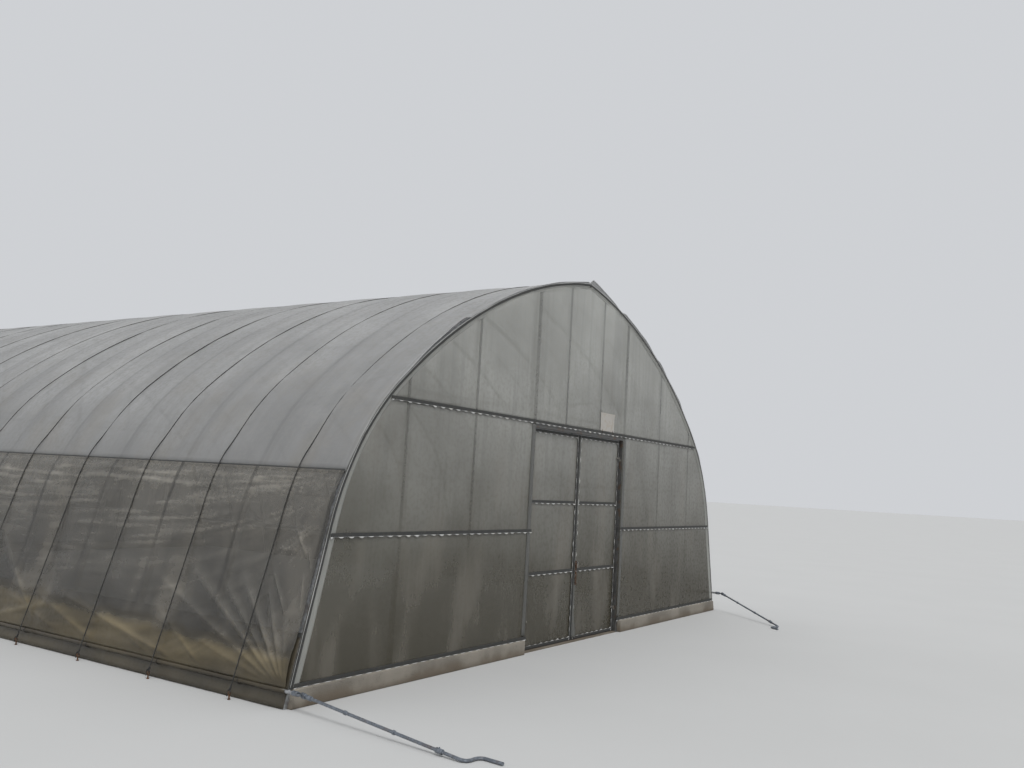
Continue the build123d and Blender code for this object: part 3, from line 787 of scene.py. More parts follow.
ROOF_STAND = 0.0022  # roof film over the arches' outer face
GABLE_STAND = 0.0018  # gable film off the arches' face
CURTAIN_STAND = 0.0150  # curtain off the arches' outer face
CURTAIN_LEAST = 0.0147
SEAM = 0.0002  # half of the gap between upper and lower gable films


class TUNNEL_OT_roof_skin(bpy.types.Operator):
    """Roof film, pulled down a little by each press rope, with a lapped and lifted front edge"""

    bl_idname = "tunnel.roof_skin"
    bl_label = "Roof film"

    def execute(self, context):
        film = context.scene.tunnel_film
        half = outline.length - outline.curtain_rail

        def place(u, v):
            side = np.where(u < 0.5, -1.0, 1.0)
            run = outline.length - np.abs(u - 0.5) * 2 * half
            y = ROOF_END * np.sign(v - 0.5) * (1 - (1 - np.abs(2 * v - 1)) ** 1.3)
            offset, painted_highlight = roof_relief(run, y, side, film)
            x, z = outline.point(run, offset)
            ends = near(np.abs(y), ROOF_END, 0.05)
            y = y - np.sign(y) * ends * 0.012 * (1 + soft_noise(run * 4 + side * 9, y, film.seed))
            return side * np.maximum(x, 0), y, z, painted_highlight

        piece = film_sheet("roof_skin", 150, 261, place, film.thickness)
        dress(piece, "roof_film", "roof_film", "roof_film")
        return {"FINISHED"}


# Lifted parts of the roof film's front edge: side, start and end from the ridge, height, in metres
LIFTED_EDGES = (
    (-1, 0.0, 0.32, 0.016),
    (1, 0.0, 0.80, 0.066),
    (1, 0.86, 1.75, 0.034),
    (1, 1.95, 2.9, 0.022),
    (-1, 2.35, 3.5, 0.030),
)


def roof_relief(run, y, side, film):
    """Height of the roof film above the arches' outer face, and how much its folds and lifted front edge stand
    out, as a painted highlight.
    """
    phase = (y - FIRST_ROW) / BAY
    dip = np.sin(np.pi * phase) ** 2 * (np.abs(y) < -FIRST_ROW)
    slack = dip * fade(run - outline.run_at(RAIL_TOP), 0.0, 0.35)
    ripple = soft_noise(run * 1.1 + side * 11, y * 6.5, film.seed + 1) * 0.0042
    fine = creases(run * 2.4 + y * 2.2 + side * 5, y * 8, film.seed + 2) * 0.0022
    offset = ROOF_STAND - film.roof_dip * slack + (ripple + fine) * slack
    edge = near(y, -ROOF_END, 0.11)
    from_ridge = outline.length - run
    lift = 0.004 + 0.006 * (0.5 + 0.5 * soft_noise(run * 7 + side * 3, 0, film.seed + 4))
    for flap_side, start, end, height in LIFTED_EDGES:
        reach = (from_ridge - start) / (end - start)
        peak = np.clip(reach * 12 + 0.4, 0, 1) * (reach > 0) * np.clip(1 - reach, 0, 1)
        lift = lift + np.where(side == flap_side, height * peak, 0.0)
    # Painted highlight on the folds and the lifted front edge
    folds = np.maximum(0, fine) * 160 * slack + edge * 0.9
    return offset + edge * lift, np.clip(folds, 0, 1)


def gable_bulge(x, z, film, seed):
    """How far a gable film stands out between its rails and studs."""
    held = near(np.abs(x), outline.half_width(z), 0.18)
    for rail in (TOP_RAIL, MIDDLE_RAIL, FILM_LOW):
        held = np.maximum(held, near(z, rail, 0.16))
    for stud in STUDS:
        held = np.maximum(held, near(np.abs(x), stud, 0.11) * 0.8)
    bulge = 0.45 + 0.55 * soft_noise(x * 1.3, z * 0.8, seed)
    tight = soft_noise(x * 9, z * 1.1, seed + 1) * 0.22 + soft_noise(x * 23, z * 2.3, seed + 2) * 0.08
    return film.gable_slack * (1 - held) * (bulge + tight)


def gable_skin(name, facing, side, low, high, grid, film):
    """Film on the gable that faces -Y (facing -1) or +Y, between two heights. With a side it runs from
    the doorway to the outline, and with side 0 over the whole width."""

    def place(u, v):
        z = low + (high - low) * v
        wall = outline.half_width(z, -0.0004)
        start = DOOR_EDGE if side > 0 else -wall
        end = -DOOR_EDGE if side < 0 else wall
        x = start + (end - start) * u
        out = gable_bulge(x, z, film, film.seed + 20 - 5 * facing)
        return -facing * x, facing * (-GABLE + GABLE_STAND + out), z

    return face_out(film_sheet(name, *grid, place, film.thickness))


class TUNNEL_OT_gable_skins(bpy.types.Operator):
    """Gable films at both ends, slack between their rails and studs"""

    bl_idname = "tunnel.gable_skins"
    bl_label = "Gable films"

    def execute(self, context):
        film = context.scene.tunnel_film
        upper = (TOP_RAIL + SEAM, RIDGE - 0.004)
        lower = (FILM_LOW, TOP_RAIL - SEAM)
        for name, facing, nodes in (
            ("gable_skin_upper", -1, ["gable_film_upper"]),
            ("back_skin_upper", 1, []),
        ):
            piece = gable_skin(name, facing, 0, *upper, (170, 44), film)
            dress(piece, "gable_film", "gable_film", *nodes)
        sides = [gable_skin("side", -1, side, *lower, (84, 60), film) for side in (-1, 1)]
        piece = joined("gable_skins_side", sides)
        dress(piece, "gable_film", "gable_film", "gable_films_side")
        # Laps beside the door posts, painted dark as the shade beside the posts
        piece = joined("post_laps", [self.lap(side, film) for side in (-1, 1)])
        dress(face_out(piece), "shaded_double_film", "gable_film")
        piece = gable_skin("back_skin_lower", 1, 0, *lower, (190, 52), film)
        dress(piece, "gable_film", "gable_film", "back_films")
        return {"FINISHED"}

    def lap(self, side, film):
        """Doubled film down a door post, painted dark as the shade beside the post."""
        low, high = sorted((side * (DOOR_EDGE + 0.012), side * (DOOR_EDGE + 0.074)))

        def place(u, v):
            z = FILM_LOW + 0.04 + v * (TOP_RAIL - FILM_LOW - 0.06)
            wander = soft_noise(z * 1.6, 0, film.seed + 28 + side) * 0.006
            return low + u * (high - low) + wander, GABLE - 0.0046 - film.gable_slack * 0.3, z

        return film_sheet("lap", 3, 60, place, 0.0006)


# Folds of a curtain at its front corner, each as distance from the front edge and height above
# the pipe where it starts, rise in degrees, length, height and half width, in metres
CORNER_FOLDS = (
    (0.00, 0.02, 70, 0.50, 0.008, 0.022),
    (0.01, 0.02, 58, 0.85, 0.016, 0.028),
    (0.02, 0.02, 46, 1.10, 0.020, 0.034),
    (0.03, 0.01, 37, 1.25, 0.016, 0.030),
    (0.04, 0.01, 30, 1.60, 0.019, 0.036),
    (0.05, 0.00, 21, 2.05, 0.014, 0.030),
    (0.10, 0.00, 13, 1.30, 0.010, 0.024),
    (0.85, 0.02, 27, 0.95, 0.010, 0.026),
    (1.10, 0.01, 11, 2.10, 0.018, 0.034),
    (1.45, 0.02, 18, 1.40, 0.011, 0.026),
    (0.16, 0.46, 52, 0.42, 0.017, 0.012),
    (0.08, 0.86, 50, 0.36, 0.015, 0.011),
    (0.20, 0.92, 2, 0.24, 0.012, 0.011),
    (0.03, 0.50, 78, 0.30, 0.013, 0.012),
    (0.02, 0.78, 63, 0.22, 0.012, 0.010),
    (0.26, 0.30, 66, 0.30, 0.011, 0.013),
)


def fold(across_from, up_from, rise, length, height, width, away, above):
    """Height of one fold at a distance from the front edge and a height above the pipe."""
    ahead, aside = cos(radians(rise)), sin(radians(rise))
    forward = (away - across_from) * ahead + (above - up_from) * aside
    beside = -(away - across_from) * aside + (above - up_from) * ahead
    share = forward / length
    spread = width * (0.45 + 0.9 * np.clip(share, 0, 1))
    body = fade(share, -0.03, 0.12) * (1 - fade(share, 0.6, 1.0))
    return height * body * np.exp(-np.abs(beside / spread) ** 1.5)


def curtain_folds(away, above, seed):
    """Drag folds: the corner's own, and others all along the pipe."""
    lines = list(CORNER_FOLDS)
    random = np.random.default_rng(seed)
    for start in np.arange(2.2, 10.4, 0.42):
        begin = start + random.uniform(-0.15, 0.15)
        rise = random.uniform(9, 38) * random.choice((1, 1, 1, -1))
        size = random.uniform(0.4, 1.0)
        up_from = random.uniform(-0.02, 0.08)
        lines.append((begin, up_from, rise % 180, 0.5 + 0.9 * size, 0.015 * size, 0.018 + 0.02 * size))
    return np.max([fold(*line, away, above) for line in lines], axis=0)


def curtain_relief(run, y, side, pipe_run, film):
    """Distance of a curtain from the arches' outer face, and how much its folds stand out, as a painted highlight.
    """
    seed = film.seed + 40 + 7 * side
    above = run - pipe_run
    down = outline.curtain_rail - run
    away = y - GABLE
    drop = down / (outline.curtain_rail - pipe_run)
    between = 1 - np.abs(np.sin(np.pi * (y - FIRST_ROW) / BAY)) ** 4
    free = fade(drop, 0.01, 0.06) * (1 - fade(drop, 0.95, 1.0))
    slack = film.billow * between * (0.5 + 0.5 * soft_noise(y * 0.8, drop * 2, seed))

    # Level wrinkles under the rail, which fan out from the front edge
    fan = down / (0.2 + 0.8 * (1 - np.exp(-(away + 0.05) / 1.3)))
    strength = np.exp(-down / 0.9) * (0.7 + 0.4 * soft_noise(away * 0.8, fan * 2, seed + 3))
    strength = strength * fade(away, 0.0, 0.25)
    wide = soft_noise(away * 1.7 + 3 + fan * 2, fan * 29 + away * 0.7, seed + 1)
    narrow = creases(away * 2.3 + fan * 3, fan * 21 - away * 0.9, seed + 2)
    level = (wide * 0.0058 + narrow * 0.0028) * strength

    # Drag folds up from the pipe, and film gathered over it
    folds = curtain_folds(away, above, seed + 4)
    pool = near(above, 0.16, 0.3)
    pooled = soft_noise(away * 0.8 + above * 2, above * 13 + away * 0.8, seed + 5)

    # Fluted and crumpled front edge, and light creases everywhere
    edge = near(away, 0.0, 0.5) * (1 - fade(drop, 0.93, 1.0)) * fade(drop, 0.0, 0.12)
    flutes = creases(away * 6 + above * 2.5, above * 3.2, seed + 6)
    crumple = soft_noise(away * 19 + above * 5, above * 12, seed + 7)
    light = creases(y * 5 + down * 4, down * 6, seed + 9)

    offset = CURTAIN_STAND + 0.016 * fade(drop, 0.55, 1.0) + edge * (flutes * 0.0045 + crumple * 0.0032)
    offset = offset + free * (slack + level + folds * film.fold_depth / 0.02 + light * 0.0012)
    offset = offset + free * pool * (0.004 + 0.0075 * pooled)
    # Painted highlight where the wrinkles, folds, flutes and gathered film stand out
    painted_highlight = np.maximum(0, wide * 0.7 + narrow * 0.55) * strength * 1.5
    painted_highlight = painted_highlight + np.clip(folds / 0.019, 0, 1) ** 1.3
    painted_highlight = painted_highlight + edge * np.maximum(0, flutes * 0.35 + crumple * 0.3) + pool * np.maximum(0, pooled) * 0.22
    return np.maximum(offset, CURTAIN_LEAST), np.clip(painted_highlight, 0, 1) * free


class TUNNEL_OT_curtains(bpy.types.Operator):
    """Side curtains, wrinkled and muddy, down to the pipes that they roll up on"""

    bl_idname = "tunnel.curtains"
    bl_label = "Side curtains"

    def execute(self, context):
        film = context.scene.tunnel_film
        for hand, side, grid in (("left", -1, (470, 100)), ("right", 1, (400, 76))):
            low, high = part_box(f"curtain_{hand}")
            pipe_run = outline.run_at(low[2])
            drop = outline.curtain_rail - pipe_run

            def place(u, v):
                y = low[1] + u ** 1.3 * (high[1] - low[1])
                run = pipe_run + v * drop
                offset, painted_highlight = curtain_relief(run, y, side, pipe_run, film)
                x, z = outline.point(run, offset)
                hem = near(v, 0.0, 0.05) * soft_noise(y * 6, 0, film.seed + 60) * 0.004
                ends = near(y, low[1], 0.12) * soft_noise(0, v * 9, film.seed + 61) * 0.012
                return side * x, y + np.maximum(ends, -0.002) + 0.002, z + np.minimum(hem, 0), painted_highlight

            piece = film_sheet(f"curtain_skin_{hand}", *grid, place, film.thickness)
            dress(face_out(piece), "curtain_film", "old_film", f"curtain_{hand}")
        return {"FINISHED"}


class TUNNEL_OT_skirts(bpy.types.Operator):
    """Fixed films at the foot of the walls, muddy and creased"""

    bl_idname = "tunnel.skirts"
    bl_label = "Skirts"

    def execute(self, context):
        film = context.scene.tunnel_film
        low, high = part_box("skirts")
        top_run = outline.run_at(high[2])
        sheets = []
        for side in (-1, 1):

            def place(u, v):
                y = low[1] + 0.002 + u * (high[1] - low[1] - 0.004)
                run = 0.003 + v * (top_run - 0.003)
                waves = soft_noise(y * 3.3, v * 1.5, film.seed + 70 + side) * 0.004
                folds = creases(y * 7 + v * 2, v * 2, film.seed + 72 + side) * 0.003
                offset = 0.0024 + (1 - near(v, 1.0, 0.25)) * np.maximum(0, waves + folds)
                x, z = outline.point(run, np.minimum(offset, 0.0085))
                return side * x, y, z

            sheets.append(film_sheet("skirt", 300, 14, place, film.thickness))
        piece = joined("skirt_skins", sheets)
        dress(face_out(piece), "skirt_film", "old_film", "skirts")
        return {"FINISHED"}


def joint_place(name):
    """Place of a joint of the frame."""
    return next(joint["pos_m"] for joint in frame["joints"] if joint["name"] == name)


# Film round a roll pipe: radius of its inner turn, how much it grows outwards, and number of turns
ROLL_RADIUS = 0.0145
ROLL_GROWTH = 0.0042
ROLL_TURNS = 1.5


class TUNNEL_OT_pipe_rolls(bpy.types.Operator):
    """Turns of film round the roll pipes, held by clips"""

    bl_idname = "tunnel.pipe_rolls"
    bl_label = "Film rolls and clips"

    def execute(self, context):
        film = context.scene.tunnel_film
        for hand, side in (("left", -1), ("right", 1)):
            x, _, z = joint_place(f"crank_{hand}_lift")
            low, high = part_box(f"curtain_{hand}")

            def place(u, v):
                y = low[1] + u * (high[1] - low[1])
                turn = side * v * 2 * pi * ROLL_TURNS + pi / 2
                lumps = soft_noise(y * 7, v * 5, film.seed + 80) * 0.0012
                radius = ROLL_RADIUS + v * ROLL_GROWTH + lumps
                return x + radius * np.cos(turn), y, z + radius * np.sin(turn)

            roll = film_sheet(f"film_roll_{hand}", 120, 22, place, 0.001)
            dress(face_out(roll), "rolled_film", "old_film")
            hoop = ring("hoop", (x, 0, z), (0, 1, 0), 0.0212, 0.0022, 16, 6)
            middle = x - side * 0.002
            grip = block("grip", (middle - 0.004, -0.012, z - 0.0255), (middle + 0.004, 0.012, z - 0.0195))
            clips = repeated(f"pipe_clips_{hand}", joined("clip", [hoop, grip]), AT_ROPES)
            dress(smooth(clips), "black_grip", "rope")
        return {"FINISHED"}


# Lock wires and film edges in the channels

WIRE_SWING = 0.0085  # from a channel's middle to the wire's bends
WIRE_SINK = 0.0026  # wire's centre under the channel's outer face
TAIL_EDGE = 0.0125  # from a channel's middle to where the tails come out
ARCH_CHANNEL_MIDDLE = 0.016  # this and the next two are measured inwards from the arch's outer face
ARCH_CHANNEL_EDGE = 0.0285
LAP_START = 0.0265


class ChannelLine:
    """Points along a lock channel, and for each the direction across the channel and out of it."""

    def __init__(self, centre, across, out):
        self.tracks = (centre, across, out)
        self.straight = len(centre) == 3
        self.steps = np.concatenate([[0], np.cumsum(np.linalg.norm(np.diff(centre, axis=0), axis=1))])
        self.length = self.steps[-1]

    def at(self, stations):
        """Centre, direction across and direction out at distances from the start."""
        return [
            np.column_stack([np.interp(stations, self.steps, track[:, axis]) for axis in range(3)])
            for track in self.tracks
        ]


def channel_wire(name, line, trim, flip):
    """Coated zigzag wire in a channel."""
    halves = max(2, int(line.length / (trim.wire_pitch / 2)))
    places = np.linspace(trim.wire_diameter, line.length - trim.wire_diameter, halves + 1)
    crest = trim.wire_pitch * 0.07
    stations = np.sort(np.concatenate([places - crest, places + crest]))
    centre, across, out = line.at(np.clip(stations, 0, line.length))
    signs = np.where((np.arange(len(stations)) // 2) % 2 == 0, flip, -flip)
    points = centre + across * (signs * WIRE_SWING)[:, None] - out * WIRE_SINK
    return bent_wire(name, points, trim.wire_diameter / 2, 4)


def film_tail(name, line, trim, seed):
    """Bits of film that the wire pushes out along one side of a channel."""

    def place(u, v):
        station = u * line.length
        crest = np.maximum(0, np.cos(station / trim.wire_pitch * 2 * pi)) ** 0.6
        ragged = 0.75 + 0.45 * soft_noise(station * 11, 0, seed)
        reach = TAIL_EDGE + v * (0.001 + trim.tail_length * crest * ragged)
        lift = 0.0008 + np.sin(v * pi * 0.8) * 0.0035 * crest
        centre, across, out = line.at(station)
        return (centre + across * reach[:, None] + out * lift[:, None]).T

    return film_sheet(name, max(8, int(line.length / (trim.wire_pitch / 8))), 3, place, 0.0008)


def arch_lap(name, side, facing, seed):
    """Film drawn over the inner edge of an arch channel, wider down the leg."""
    start, end = outline.run_at(FILM_LOW) + 0.01, outline.length - 0.02

    def place(u, v):
        run = start + u * (end - start)
        width = 0.034 + 0.024 * (1 - fade(run, 0.9, 2.3)) + 0.006 * soft_noise(run * 3, 0, seed)
        x, z = outline.point(run, -LAP_START - v * width)
        lift = 0.0006 + 0.0012 * np.abs(soft_noise(run * 9, v * 2, seed + 1)) - 0.0085 * fade(v, 0.02, 0.3)
        return side * x, facing * (CHANNEL_FACE + lift), z

    return film_sheet(name, 200, 5, place, 0.0007)


def folded_edge(name, side, facing, seed):
    """Edge of the roof film, folded down over the outer side of an arch channel."""
    start, end = outline.run_at(FILM_LOW) + 0.01, outline.length

    def place(u, v):
        run = start + u * (end - start)
        reach = 0.0075 + 0.003 * soft_noise(run * 4, 0, seed)
        x, z = outline.point(run, 0.0035 - v * reach)
        lift = 0.0009 + 0.0016 * np.abs(soft_noise(run * 13, v, seed + 1))
        return side * np.maximum(x, 0), facing * (CHANNEL_FACE + lift), z

    return film_sheet(name, 200, 3, place, 0.0007)


def straight_line(start, end, across, out):
    """Line of a straight channel."""
    steps = np.linspace(0, 1, 3)[:, None]
    centre = np.array(start) + (np.array(end) - np.array(start)) * steps
    return ChannelLine(centre, *(np.tile(np.array(way, float), (3, 1)) for way in (across, out)))


def arch_line(side, facing):
    """Line of the curved channel on one half of an end arch."""
    run = np.linspace(outline.run_at(FILM_LOW), outline.length, 220)
    x, z = outline.point(run, -ARCH_CHANNEL_MIDDLE)
    angle = outline.angle(run)
    centre = np.column_stack([side * np.maximum(x, 0.002), np.full_like(run, facing * CHANNEL_FACE), z])
    inward = np.column_stack([-side * np.cos(angle), np.zeros_like(run), -np.sin(angle)])
    return ChannelLine(centre, inward, np.tile(np.array([0.0, facing, 0.0]), (len(run), 1)))


def gable_lines(facing):
    """All channel lines of one gable: its rails, cut at the doorway in front, and its arch."""
    y = facing * CHANNEL_FACE
    sides = (-1, 1) if facing < 0 else (0,)
    rails = [(0, TOP_RAIL)]
    rails += [(side, height) for side in sides for height in (MIDDLE_RAIL, FILM_LOW + RAIL_WIDTH / 2)]
    lines = []
    for side, height in rails:
        wall = float(outline.half_width(height + RAIL_WIDTH / 2, -ARCH_CHANNEL_EDGE))
        low, high = sorted((side * wall, side * DOOR_EDGE)) if side else (-wall, wall)
        lines.append(straight_line((low, y, height), (high, y, height), (0, 0, -1), (0, facing, 0)))
    return lines + [arch_line(side, facing) for side in (-1, 1)]


def wall_lines():
    """Channel lines of the curtain and skirt rails on both walls."""
    lines = []
    for node in ("curtain_rails", "skirt_rails"):
        low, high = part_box(node)
        run = outline.run_at((low[2] + high[2]) / 2)
        angle = float(outline.angle(run))
        x, z = outline.point(run, UNDER_CHANNEL + CHANNEL_DEPTH)
        for side in (-1, 1):
            out = (side * cos(angle), 0, sin(angle))
            down = (side * sin(angle), 0, -cos(angle))
            lines.append(straight_line((side * x, low[1], z), (side * x, high[1], z), down, out))
    return lines


def leaf_lines(hand):
    """Channel lines of one door leaf."""
    low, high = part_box(f"door_{hand}_channels")
    y = low[1]
    half = RAIL_WIDTH / 2
    out = (0, -1, 0)
    lines = []
    for x, inward in ((low[0] + half, 1), (high[0] - half, -1)):
        lines.append(straight_line((x, y, low[2]), (x, y, high[2]), (inward, 0, 0), out))
    step = (high[2] - low[2] - RAIL_WIDTH) / LEAF_PANELS
    for rail in range(LEAF_PANELS + 1):
        z = low[2] + half + rail * step
        start, end = (low[0] + RAIL_WIDTH, y, z), (high[0] - RAIL_WIDTH, y, z)
        lines.append(straight_line(start, end, (0, 0, -1 if rail else 1), out))
    return lines


class TUNNEL_OT_lock_wires(bpy.types.Operator):
    """Coated zigzag wires in the channels and the film's edges that stick out of them"""

    bl_idname = "tunnel.lock_wires"
    bl_label = "Lock wires"

    def execute(self, context):
        trim = context.scene.tunnel_trim
        seed = context.scene.tunnel_film.seed + 100
        self.edges(seed)
        for group, body, lines in (
            ("front", "tunnel", gable_lines(-1)),
            ("back", "tunnel", gable_lines(1)),
            ("walls", "tunnel", wall_lines()),
            ("door_left", "door_left", leaf_lines("left")),
            ("door_right", "door_right", leaf_lines("right")),
        ):
            wires, tails = [], []
            for index, line in enumerate(lines):
                wires.append(channel_wire("wire", line, trim, 1 if index % 2 else -1))
                if group != "walls" and line.straight:
                    tails.append(film_tail("tail", line, trim, seed + 3 * index))
            wire = joined(f"lock_wires_{group}", wires)
            dress(smooth(wire, 60), "coated_wire", "lock_channel", body=body)
            if tails:
                dress(joined(f"film_tails_{group}", tails), "clean_film", "gable_film", body=body)
        return {"FINISHED"}

    def edges(self, seed):
        """Laps and folded edges of film along the end arches."""
        for end, facing in (("front", -1), ("back", 1)):
            for name, shape, finish, start in (
                ("arch_laps", arch_lap, "film_lap", 50),
                ("folded_edges", folded_edge, "film_hem", 60),
            ):
                sheets = [shape("edge", side, facing, seed + start + side) for side in (-1, 1)]
                piece = joined(f"{name}_{end}", sheets)
                dress(face_out(piece), finish, "gable_film")


# Ropes and anchors

OVER_ROOF = -0.0075  # rope in the roof film's dip, from the arches' outer face
OVER_RAIL = 0.0205  # rope over the curtain rail's channel
HITCH_HEIGHT = 0.062


def rope_path():
    """Points of a press rope from anchor to anchor, in the plane of y = 0."""
    rail_run = outline.run_at(RAIL_TOP)
    runs = np.concatenate([
        np.linspace(outline.length, rail_run + 0.30, 22),
        np.linspace(rail_run + 0.22, rail_run + 0.01, 6),
        np.linspace(rail_run - 0.05, outline.leg + 0.02, 8),
    ])
    offset = OVER_ROOF + (OVER_RAIL - OVER_ROOF) * (1 - fade(runs - rail_run, 0.0, 0.3))
    x, z = outline.point(runs, offset)
    ridge, *right = [(float(a), 0.0, float(b)) for a, b in zip(x, z)]
    right.append((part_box("press_ropes")[1][0] - 0.004, 0.0, HITCH_HEIGHT))
    left = [(-a, b, c) for a, b, c in reversed(right)]
    return left + [(0.0, 0.0, ridge[2])] + right


class TUNNEL_OT_ropes(bpy.types.Operator):
    """Black press ropes over the films, with their anchors and knots"""

    bl_idname = "tunnel.ropes"
    bl_label = "Press ropes"

    def execute(self, context):
        rope = bent_wire("rope", rope_path(), context.scene.tunnel_trim.rope_width / 2, 8)
        ropes = repeated("press_ropes_round", rope, AT_ROPES)
        dress(smooth(ropes, 60), "press_rope", "rope", "press_ropes")
        self.anchors()
        return {"FINISHED"}

    def anchors(self):
        """Eye anchors in the ground with the ropes knotted to them."""
        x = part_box("rope_anchors")[1][0] - 0.011
        anchor = [
            rod("shaft", (x, 0, 0), (x, 0, 0.030), 0.0058, 10),
            rod("collar", (x, 0, 0.0), (x, 0, 0.006), 0.0105, 12, 0.001),
            ring("eye", (x, 0, 0.043), (0, 1, 0), 0.0115, 0.0035, 16, 8),
        ]
        loose_end = (
            (0.0, 0.003, 0.074), (0.008, 0.010, 0.066), (0.009, 0.014, 0.045), (0.008, 0.016, 0.022),
        )
        hitch = [
            ring("loop", (x, 0, 0.058), (1, 0, 0.2), 0.0085, 0.0042, 14, 8),
            rod("knot", (x - 0.002, 0, 0.068), (x - 0.008, 0, 0.088), 0.0085, 10, 0.003),
            bent_wire("tail", [(x + out, y, z) for out, y, z in loose_end], 0.0036, 6),
        ]
        mirrored = Matrix.Diagonal((-1, 1, 1, 1))
        placings = [shift @ turn for shift in AT_ROPES for turn in (Matrix.Identity(4), mirrored)]
        piece = repeated("ground_anchors", joined("anchor", anchor), placings)
        dress(smooth(piece, 50), "rusty_steel", "anchor_steel", "rope_anchors")
        piece = repeated("rope_hitches", joined("hitch", hitch), placings)
        dress(smooth(piece, 50), "press_rope", "rope")


# Clamps and end caps

CLAMP_WIDTH = 0.022
CLAMP_REACH = 0.030  # from the arch's inner face down to the clamp's base
CLAMP_SHEET = 0.0026
CLAMP_ROOM = 0.0006
CAP_INSET = 0.016
CAP_LENGTH = 0.030
CAP_RADIUS = 0.0165


def purlins():
    """Side, and place (x, z) on that side, of every purlin's centre."""
    places = []
    for node in ("roof_purlins", "side_purlins", "ridge_purlin"):
        low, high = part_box(node)
        z = (low[2] + high[2]) / 2
        x = 0.0 if node == "ridge_purlin" else high[0] - (high[2] - low[2]) / 2
        places += [(side, x, z) for side in ((-1, 1) if x else (0,))]
    return places


def nearest_run(x, z):
    """Developed length at which the outline passes nearest to a point."""
    runs = np.linspace(0, outline.length, 3000)
    px, pz = outline.point(runs)
    return float(runs[np.argmin((px - x) ** 2 + (pz - z) ** 2)])


class TUNNEL_OT_clamps(bpy.types.Operator):
    """Clamps that hold the purlins to the arches, and the purlins' end caps"""

    bl_idname = "tunnel.clamps"
    bl_label = "Clamps"

    def execute(self, context):
        caps = []
        for side, x, z in purlins():
            for end in (-1, 1):
                face = end * (-GABLE - CAP_INSET)
                start, stop = (side * x, face - end * CAP_LENGTH, z), (side * x, face, z)
                caps.append(rod("cap", start, stop, CAP_RADIUS, 14, 0.003))
        dress(smooth(joined("purlin_caps", caps)), "black_grip", "galvanised_tube")
        clamps = repeated("purlin_clamps", self.clamp(), self.placings())
        dress(smooth(clamps, 40), "galvanised_tube", "galvanised_tube")
        return {"FINISHED"}

    def clamp(self):
        """Two straps beside an arch's tube, with a base under the purlin and a bolt, as at the ridge."""
        half, wide = TUBE / 2, CLAMP_WIDTH / 2
        inner = half + CLAMP_ROOM
        outer = inner + CLAMP_SHEET
        foot = -TUBE - CLAMP_REACH
        return joined("clamp", [
            block("strap", (-wide, -outer, foot), (wide, -inner, 0.001), 0.0007, 1),
            block("strap", (-wide, inner, foot), (wide, outer, 0.001), 0.0007, 1),
            block("base", (-wide, -outer, foot - 0.0032), (wide, outer, foot), 0.0007, 1),
            rod("bolt", (0, -half - 0.0075, -0.043), (0, half + 0.0075, -0.043), 0.0032, 6),
        ])

    def placings(self):
        """Placing of a clamp at every crossing of a purlin and an inner arch."""
        placings = []
        for side, x, z in purlins():
            run = nearest_run(x, z)
            turn = Matrix.Rotation(side * (pi / 2 - float(outline.angle(run))), 4, "Y")
            px, pz = outline.point(run) if side else (0.0, RIDGE)
            for row in ROWS[1:-1]:
                placings.append(Matrix.Translation((side * float(px), row, float(pz))) @ turn)
        return placings


# Doors

LINK_STRETCH = 1.45
LINK_PITCH = 0.0215
SHACKLE_WIDTH = 0.020


